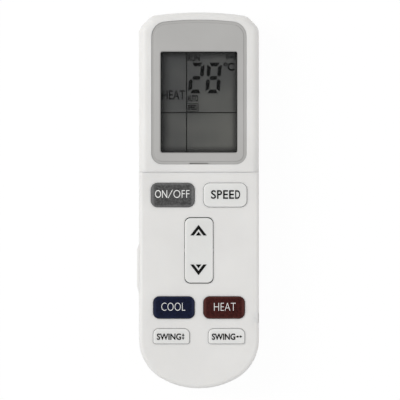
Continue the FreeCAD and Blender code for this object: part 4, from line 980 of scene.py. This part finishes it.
@dataclass
class KeyPrints:
    """Words, chevrons and arrows printed on the keys. Sizes are in millimetres."""

    workshop: Workshop
    film: float = 0.02
    sink: float = 0.02
    chevron_shift: Point = (-0.17, 0.17)
    chevron_half: float = 3.28
    chevron_base: float = 5.75
    chevron_apex: float = 9.98
    chevron_inner_half: float = 1.9
    chevron_inner_apex: float = 8.26
    triangle_half: float = 1.12
    triangle_height: float = 1.5
    arrow_half: float = 1.3
    arrow_head: Point = (0.95, 0.52)
    arrow_stem: float = 0.11
    upright_arrow: Point = (4.68, -0.15)
    level_arrow: Point = (4.98, -0.15)
    small_word: Point = (6.6, 1.7)

    SLASH = ((-2.0, -1.22), (-1.72, -1.22), (0.03, 2.08), (-0.25, 2.08))
    LEGENDS = (
        Legend("ON", (-7.02, -2.2, -1.12, 1.98), Ink.WHITE, CadBody.POWER, "key_grey", -0.004),
        Legend("OFF", (0.3, 6.64, -1.12, 1.98), Ink.WHITE, CadBody.POWER, "key_grey", -0.012),
        Legend("SPEED", (-5.62, 5.93, -1.52, 1.93), Ink.BLACK, CadBody.FAN_SPEED, "key_white", 0.018, 0.42),
        Legend("COOL", (-4.95, 4.51, -1.24, 1.91), Ink.WHITE, CadBody.COOL, "key_blue", -0.019),
        Legend("HEAT", (-3.97, 4.63, -1.24, 1.86), Ink.WHITE, CadBody.HEAT, "key_red", -0.019),
        Legend("SWING", (-5.75, 3.88, -1.45, 1.1), Ink.BLACK, CadBody.SWING_UP_DOWN, "key_white", 0.026),
        Legend("SWING", (-5.84, 3.48, -1.45, 1.1), Ink.BLACK, CadBody.SWING_LEFT_RIGHT, "key_white", 0.03),
    )
    SMALL_KEYS = ("mode_key", "timer_key", "sleep_key", "clock_key", "light_key", "boost_key")

    def heights(self, node: str) -> tuple[float, float]:
        """Lower and upper height of the print on a key, in metres."""
        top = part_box(node)[1][2]
        return top - self.sink * MM, top + self.film * MM

    def signs(self) -> dict[CadBody, Polygon]:
        """The slash of the power key and the double arrows beside the swing words."""
        arrow = double_arrow(self.arrow_half, *self.arrow_head, self.arrow_stem)
        return {
            CadBody.POWER: list(self.SLASH),
            CadBody.SWING_UP_DOWN: moved([(-y, x) for x, y in arrow], self.upright_arrow),
            CadBody.SWING_LEFT_RIGHT: moved(arrow, self.level_arrow),
        }

    def chevrons(self) -> list[Polygon]:
        """Up and down marks of the rocker."""
        x, y = moved([middle(CadBody.ROCKER)], self.chevron_shift)[0]
        marks = []
        for side in (1, -1):
            base = y + side * self.chevron_base
            marks.append([(x, y + side * self.chevron_apex), (x + self.chevron_half, base),
                          (x + self.chevron_inner_half, base), (x, y + side * self.chevron_inner_apex),
                          (x - self.chevron_inner_half, base), (x - self.chevron_half, base)])
            marks.append([(x - self.triangle_half, base), (x + self.triangle_half, base),
                          (x, base + side * self.triangle_height)])
        return marks

    def build(self) -> None:
        """Makes the prints and sets each on its key."""
        make = self.workshop
        signs = self.signs()
        for body in dict.fromkeys(legend.body for legend in self.LEGENDS):
            bottom, top = self.heights(body)
            x, y = middle(body)
            legends = [legend for legend in self.LEGENDS if legend.body is body]
            meshes = []
            for legend in legends:
                for letters, (left, right, lower, upper) in legend.parts():
                    box = (x + left, x + right, y + lower, y + upper)
                    meshes.append(make.word(letters, box, bottom, top, legend.weight))
            if body in signs:
                meshes.append(make.prisms("sign", [moved(signs[body], (x, y))], bottom, top))
            make.place(make.join(body + "_print", meshes), body, legends[0].ink, legends[0].slot)
        chevrons = make.prisms("rocker_chevrons", self.chevrons(), *self.heights(CadBody.ROCKER))
        make.place(chevrons, CadBody.ROCKER, Ink.BLACK, "key_white")
        for node in self.SMALL_KEYS:
            x, y = middle(node)
            width, height = self.small_word
            box = (x - width / 2, x + width / 2, y - height / 2, y + height / 2)
            word = make.word(node.split("_")[0].upper(), box, *self.heights(node))
            make.place(make.join(node + "_print", [word]), node, Ink.BLACK, "key_silicone")


@dataclass
class BoardContacts:
    """Gold contact bars on the board, under the keys and the display strips. Sizes are in millimetres."""

    workshop: Workshop
    bar_width: float = 0.3
    bar_pitch: float = 0.55
    bar_length: float = 3.4
    bar_count: int = 7
    finger_pitch: float = 1.0
    finger_length: float = 1.2
    finger_count: int = 29
    finger_inset: float = 3.6
    film: float = 0.03

    def tree(self) -> bpy.types.GeometryNodeTree:
        """Node tree that lays a row of bars along X.

        Returns:
            The tree, with inputs for its sizes.
        """
        tree = bpy.data.node_groups.new("contact_bar_row", "GeometryNodeTree")
        sockets = (("Count", "NodeSocketInt"), ("Start", "NodeSocketVector"), ("Step", "NodeSocketVector"),
                   ("Bar", "NodeSocketVector"), ("Finish", "NodeSocketMaterial"))
        for name, kind in sockets:
            tree.interface.new_socket(name, in_out="INPUT", socket_type=kind)
        tree.interface.new_socket("Geometry", in_out="OUTPUT", socket_type="NodeSocketGeometry")
        inputs = tree.nodes.new("NodeGroupInput")
        outputs = tree.nodes.new("NodeGroupOutput")
        kinds = ("MeshLine", "MeshCube", "InstanceOnPoints", "RealizeInstances", "SetMaterial")
        line, cube, instance, realize, paint = (tree.nodes.new("GeometryNode" + kind) for kind in kinds)
        joins = (
            (inputs, "Count", line, "Count"),
            (inputs, "Start", line, "Start Location"),
            (inputs, "Step", line, "Offset"),
            (inputs, "Bar", cube, "Size"),
            (line, "Mesh", instance, "Points"),
            (cube, "Mesh", instance, "Instance"),
            (instance, "Instances", realize, "Geometry"),
            (realize, "Geometry", paint, "Geometry"),
            (inputs, "Finish", paint, "Material"),
            (paint, "Geometry", outputs, "Geometry"),
        )
        for source, output, target, place in joins:
            tree.links.new(source.outputs[output], target.inputs[place])
        return tree

    def row(self, tree: bpy.types.GeometryNodeTree, centre: Point, count: int, pitch: float,
            length: float) -> Mesh:
        """One row of bars as a plain mesh.

        Args:
            tree: The node tree.
            centre: Middle of the row in millimetres.
            count: Number of bars.
            pitch: Distance between bars in millimetres.
            length: Length of one bar in millimetres.

        Returns:
            The mesh.
        """
        holder = stand("contact_row", bpy.data.meshes.new("contact_row"))
        modifier = holder.modifiers.new("row", "NODES")
        modifier.node_group = tree
        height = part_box("circuit_board")[1][2] / MM + self.film / 2
        values = {"Count": count,
                  "Start": Vector((centre[0] - pitch * (count - 1) / 2, centre[1], height)) * MM,
                  "Step": Vector((pitch, 0, 0)) * MM,
                  "Bar": Vector((self.bar_width, length, self.film)) * MM,
                  "Finish": self.workshop.finishes.materials[Ink.GOLD]}
        for item in tree.interface.items_tree:
            if item.in_out == "INPUT":
                modifier[item.identifier] = values[item.name]
        return baked(holder)

    def build(self) -> None:
        """Lays a row under every contact pill and beside both display strips."""
        tree = self.tree()
        main_keys = dict.fromkeys(legend.body for legend in KeyPrints.LEGENDS)
        pads = [middle(key + "_pill") for key in (*main_keys, *KeyPrints.SMALL_KEYS)]
        low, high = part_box("temperature_rocker_pills")
        pill = (high[0] - low[0]) / 2
        pads += [(0, (low[1] + pill) / MM), (0, (high[1] - pill) / MM)]
        rows = [self.row(tree, pad, self.bar_count, self.bar_pitch, self.bar_length) for pad in pads]
        low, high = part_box("connector_strips")
        for y in (low[1] / MM + self.finger_inset, high[1] / MM - self.finger_inset):
            rows.append(self.row(tree, (0, y), self.finger_count, self.finger_pitch, self.finger_length))
        mesh = self.workshop.join("board_contacts", rows)
        self.workshop.place(mesh, CadBody.CASE, Ink.GOLD, "board_green")


@dataclass
class Studio:
    """Pale floor, soft light and the camera over the remote. Sizes are in metres."""

    floor_half: float = 3.0
    floor_drop: float = 0.0003
    floor_thickness: float = 0.01
    floor_colour: Colour = (0.9, 0.9, 0.9)
    floor_glow: float = 1.01
    floor_glow_share: float = 0.94
    camera_height: float = 1.5
    view_width: float = 0.15962
    sensor: float = 36.0
    outline_height: float = 0.012
    centre: Point = (0.00041, 0.0001)
    ambient: float = 0.65
    key_place: Triple = (-0.8, 0.32, 0.9)
    key_size: float = 0.7
    key_power: float = 7.2
    fill_place: Triple = (0.95, -0.2, 0.55)
    fill_size: float = 0.6
    fill_power: float = 1.1

    def background(self, tree: bpy.types.NodeTree) -> Socket:
        """Value that is 1 for rays that show the background.

        Args:
            tree: Node tree to work in.

        Returns:
            The value.
        """
        path = tree.nodes.new("ShaderNodeLightPath")
        value = path.outputs["Is Camera Ray"]
        for name in ("Is Glossy Ray", "Is Transmission Ray"):
            node = tree.nodes.new("ShaderNodeMath")
            node.operation = "MAXIMUM"
            tree.links.new(value, node.inputs[0])
            tree.links.new(path.outputs[name], node.inputs[1])
            value = node.outputs["Value"]
        return value

    def floor(self) -> None:
        """Makes the floor, which shows white and keeps a soft shadow."""
        half = self.floor_half / MM
        top = -self.floor_drop
        mesh = Workshop.prisms("floor", [bar(-half, half, -half, half)], top - self.floor_thickness, top)
        material = bpy.data.materials.new("pale_floor")
        material.use_nodes = True
        tree = material.node_tree
        tree.nodes.clear()
        kinds = ("BsdfDiffuse", "Emission", "Math", "MixShader", "OutputMaterial")
        plain, glow, shown, mix, output = (tree.nodes.new("ShaderNode" + kind) for kind in kinds)
        plain.inputs["Color"].default_value = (*self.floor_colour, 1)
        glow.inputs["Strength"].default_value = self.floor_glow
        shown.operation = "MULTIPLY"
        shown.inputs[1].default_value = self.floor_glow_share
        tree.links.new(self.background(tree), shown.inputs[0])
        tree.links.new(shown.outputs["Value"], mix.inputs["Fac"])
        tree.links.new(plain.outputs["BSDF"], mix.inputs[1])
        tree.links.new(glow.outputs["Emission"], mix.inputs[2])
        tree.links.new(mix.outputs["Shader"], output.inputs["Surface"])
        mesh.materials.append(material)
        plane = stand("floor", mesh)

    def world(self) -> None:
        """Sets the even light from all round."""
        world = bpy.data.worlds.new("studio")
        bpy.context.scene.world = world
        world.use_nodes = True
        tree = world.node_tree
        backdrop = next(node for node in tree.nodes if node.type == "BACKGROUND")
        backdrop.inputs["Color"].default_value = (1, 1, 1, 1)
        strength = tree.nodes.new("ShaderNodeMapRange")
        strength.inputs["To Min"].default_value = self.ambient
        strength.inputs["To Max"].default_value = 1.0
        tree.links.new(self.background(tree), strength.inputs["Value"])
        tree.links.new(strength.outputs["Result"], backdrop.inputs["Strength"])

    def lamp(self, name: str, place: Vector, size: float, power: float) -> None:
        """Adds a soft square lamp that faces the remote.

        Args:
            name: Name of the lamp.
            place: Where it stands.
            size: Length of its sides.
            power: Its power in watts.
        """
        light = bpy.data.lights.new(name, "AREA")
        light.size = size
        light.energy = power
        lamp = stand(name, light)
        lamp.location = place
        lamp.rotation_euler = (-place).to_track_quat("-Z", "Y").to_euler()

    def camera(self) -> None:
        """Sets the camera straight above, with the sending end up."""
        view = bpy.data.cameras.new("camera")
        view.sensor_width = self.sensor
        view.lens = self.sensor * (self.camera_height - self.outline_height) / self.view_width
        eye = stand("camera", view)
        eye.matrix_world = Matrix.Translation((*self.centre, self.camera_height))
        bpy.context.scene.camera = eye

    def build(self) -> None:
        """Sets up the whole studio."""
        self.floor()
        self.world()
        self.lamp("key_light", Vector(self.key_place), self.key_size, self.key_power)
        self.lamp("fill_light", Vector(self.fill_place), self.fill_size, self.fill_power)
        self.camera()
        bpy.context.scene.view_settings.view_transform = "Standard"


def main() -> None:
    """Builds the remote control's looks around the frame."""
    logging.basicConfig(level=logging.INFO, format="%(name)s: %(message)s")
    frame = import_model()
    finishes = Finishes()
    finishes.dress_frame(frame)
    workshop = Workshop(finishes)
    for assembly in (Display(workshop), KeyPrints(workshop), BoardContacts(workshop), Studio()):
        assembly.build()


if __name__ == "__main__":
    main()
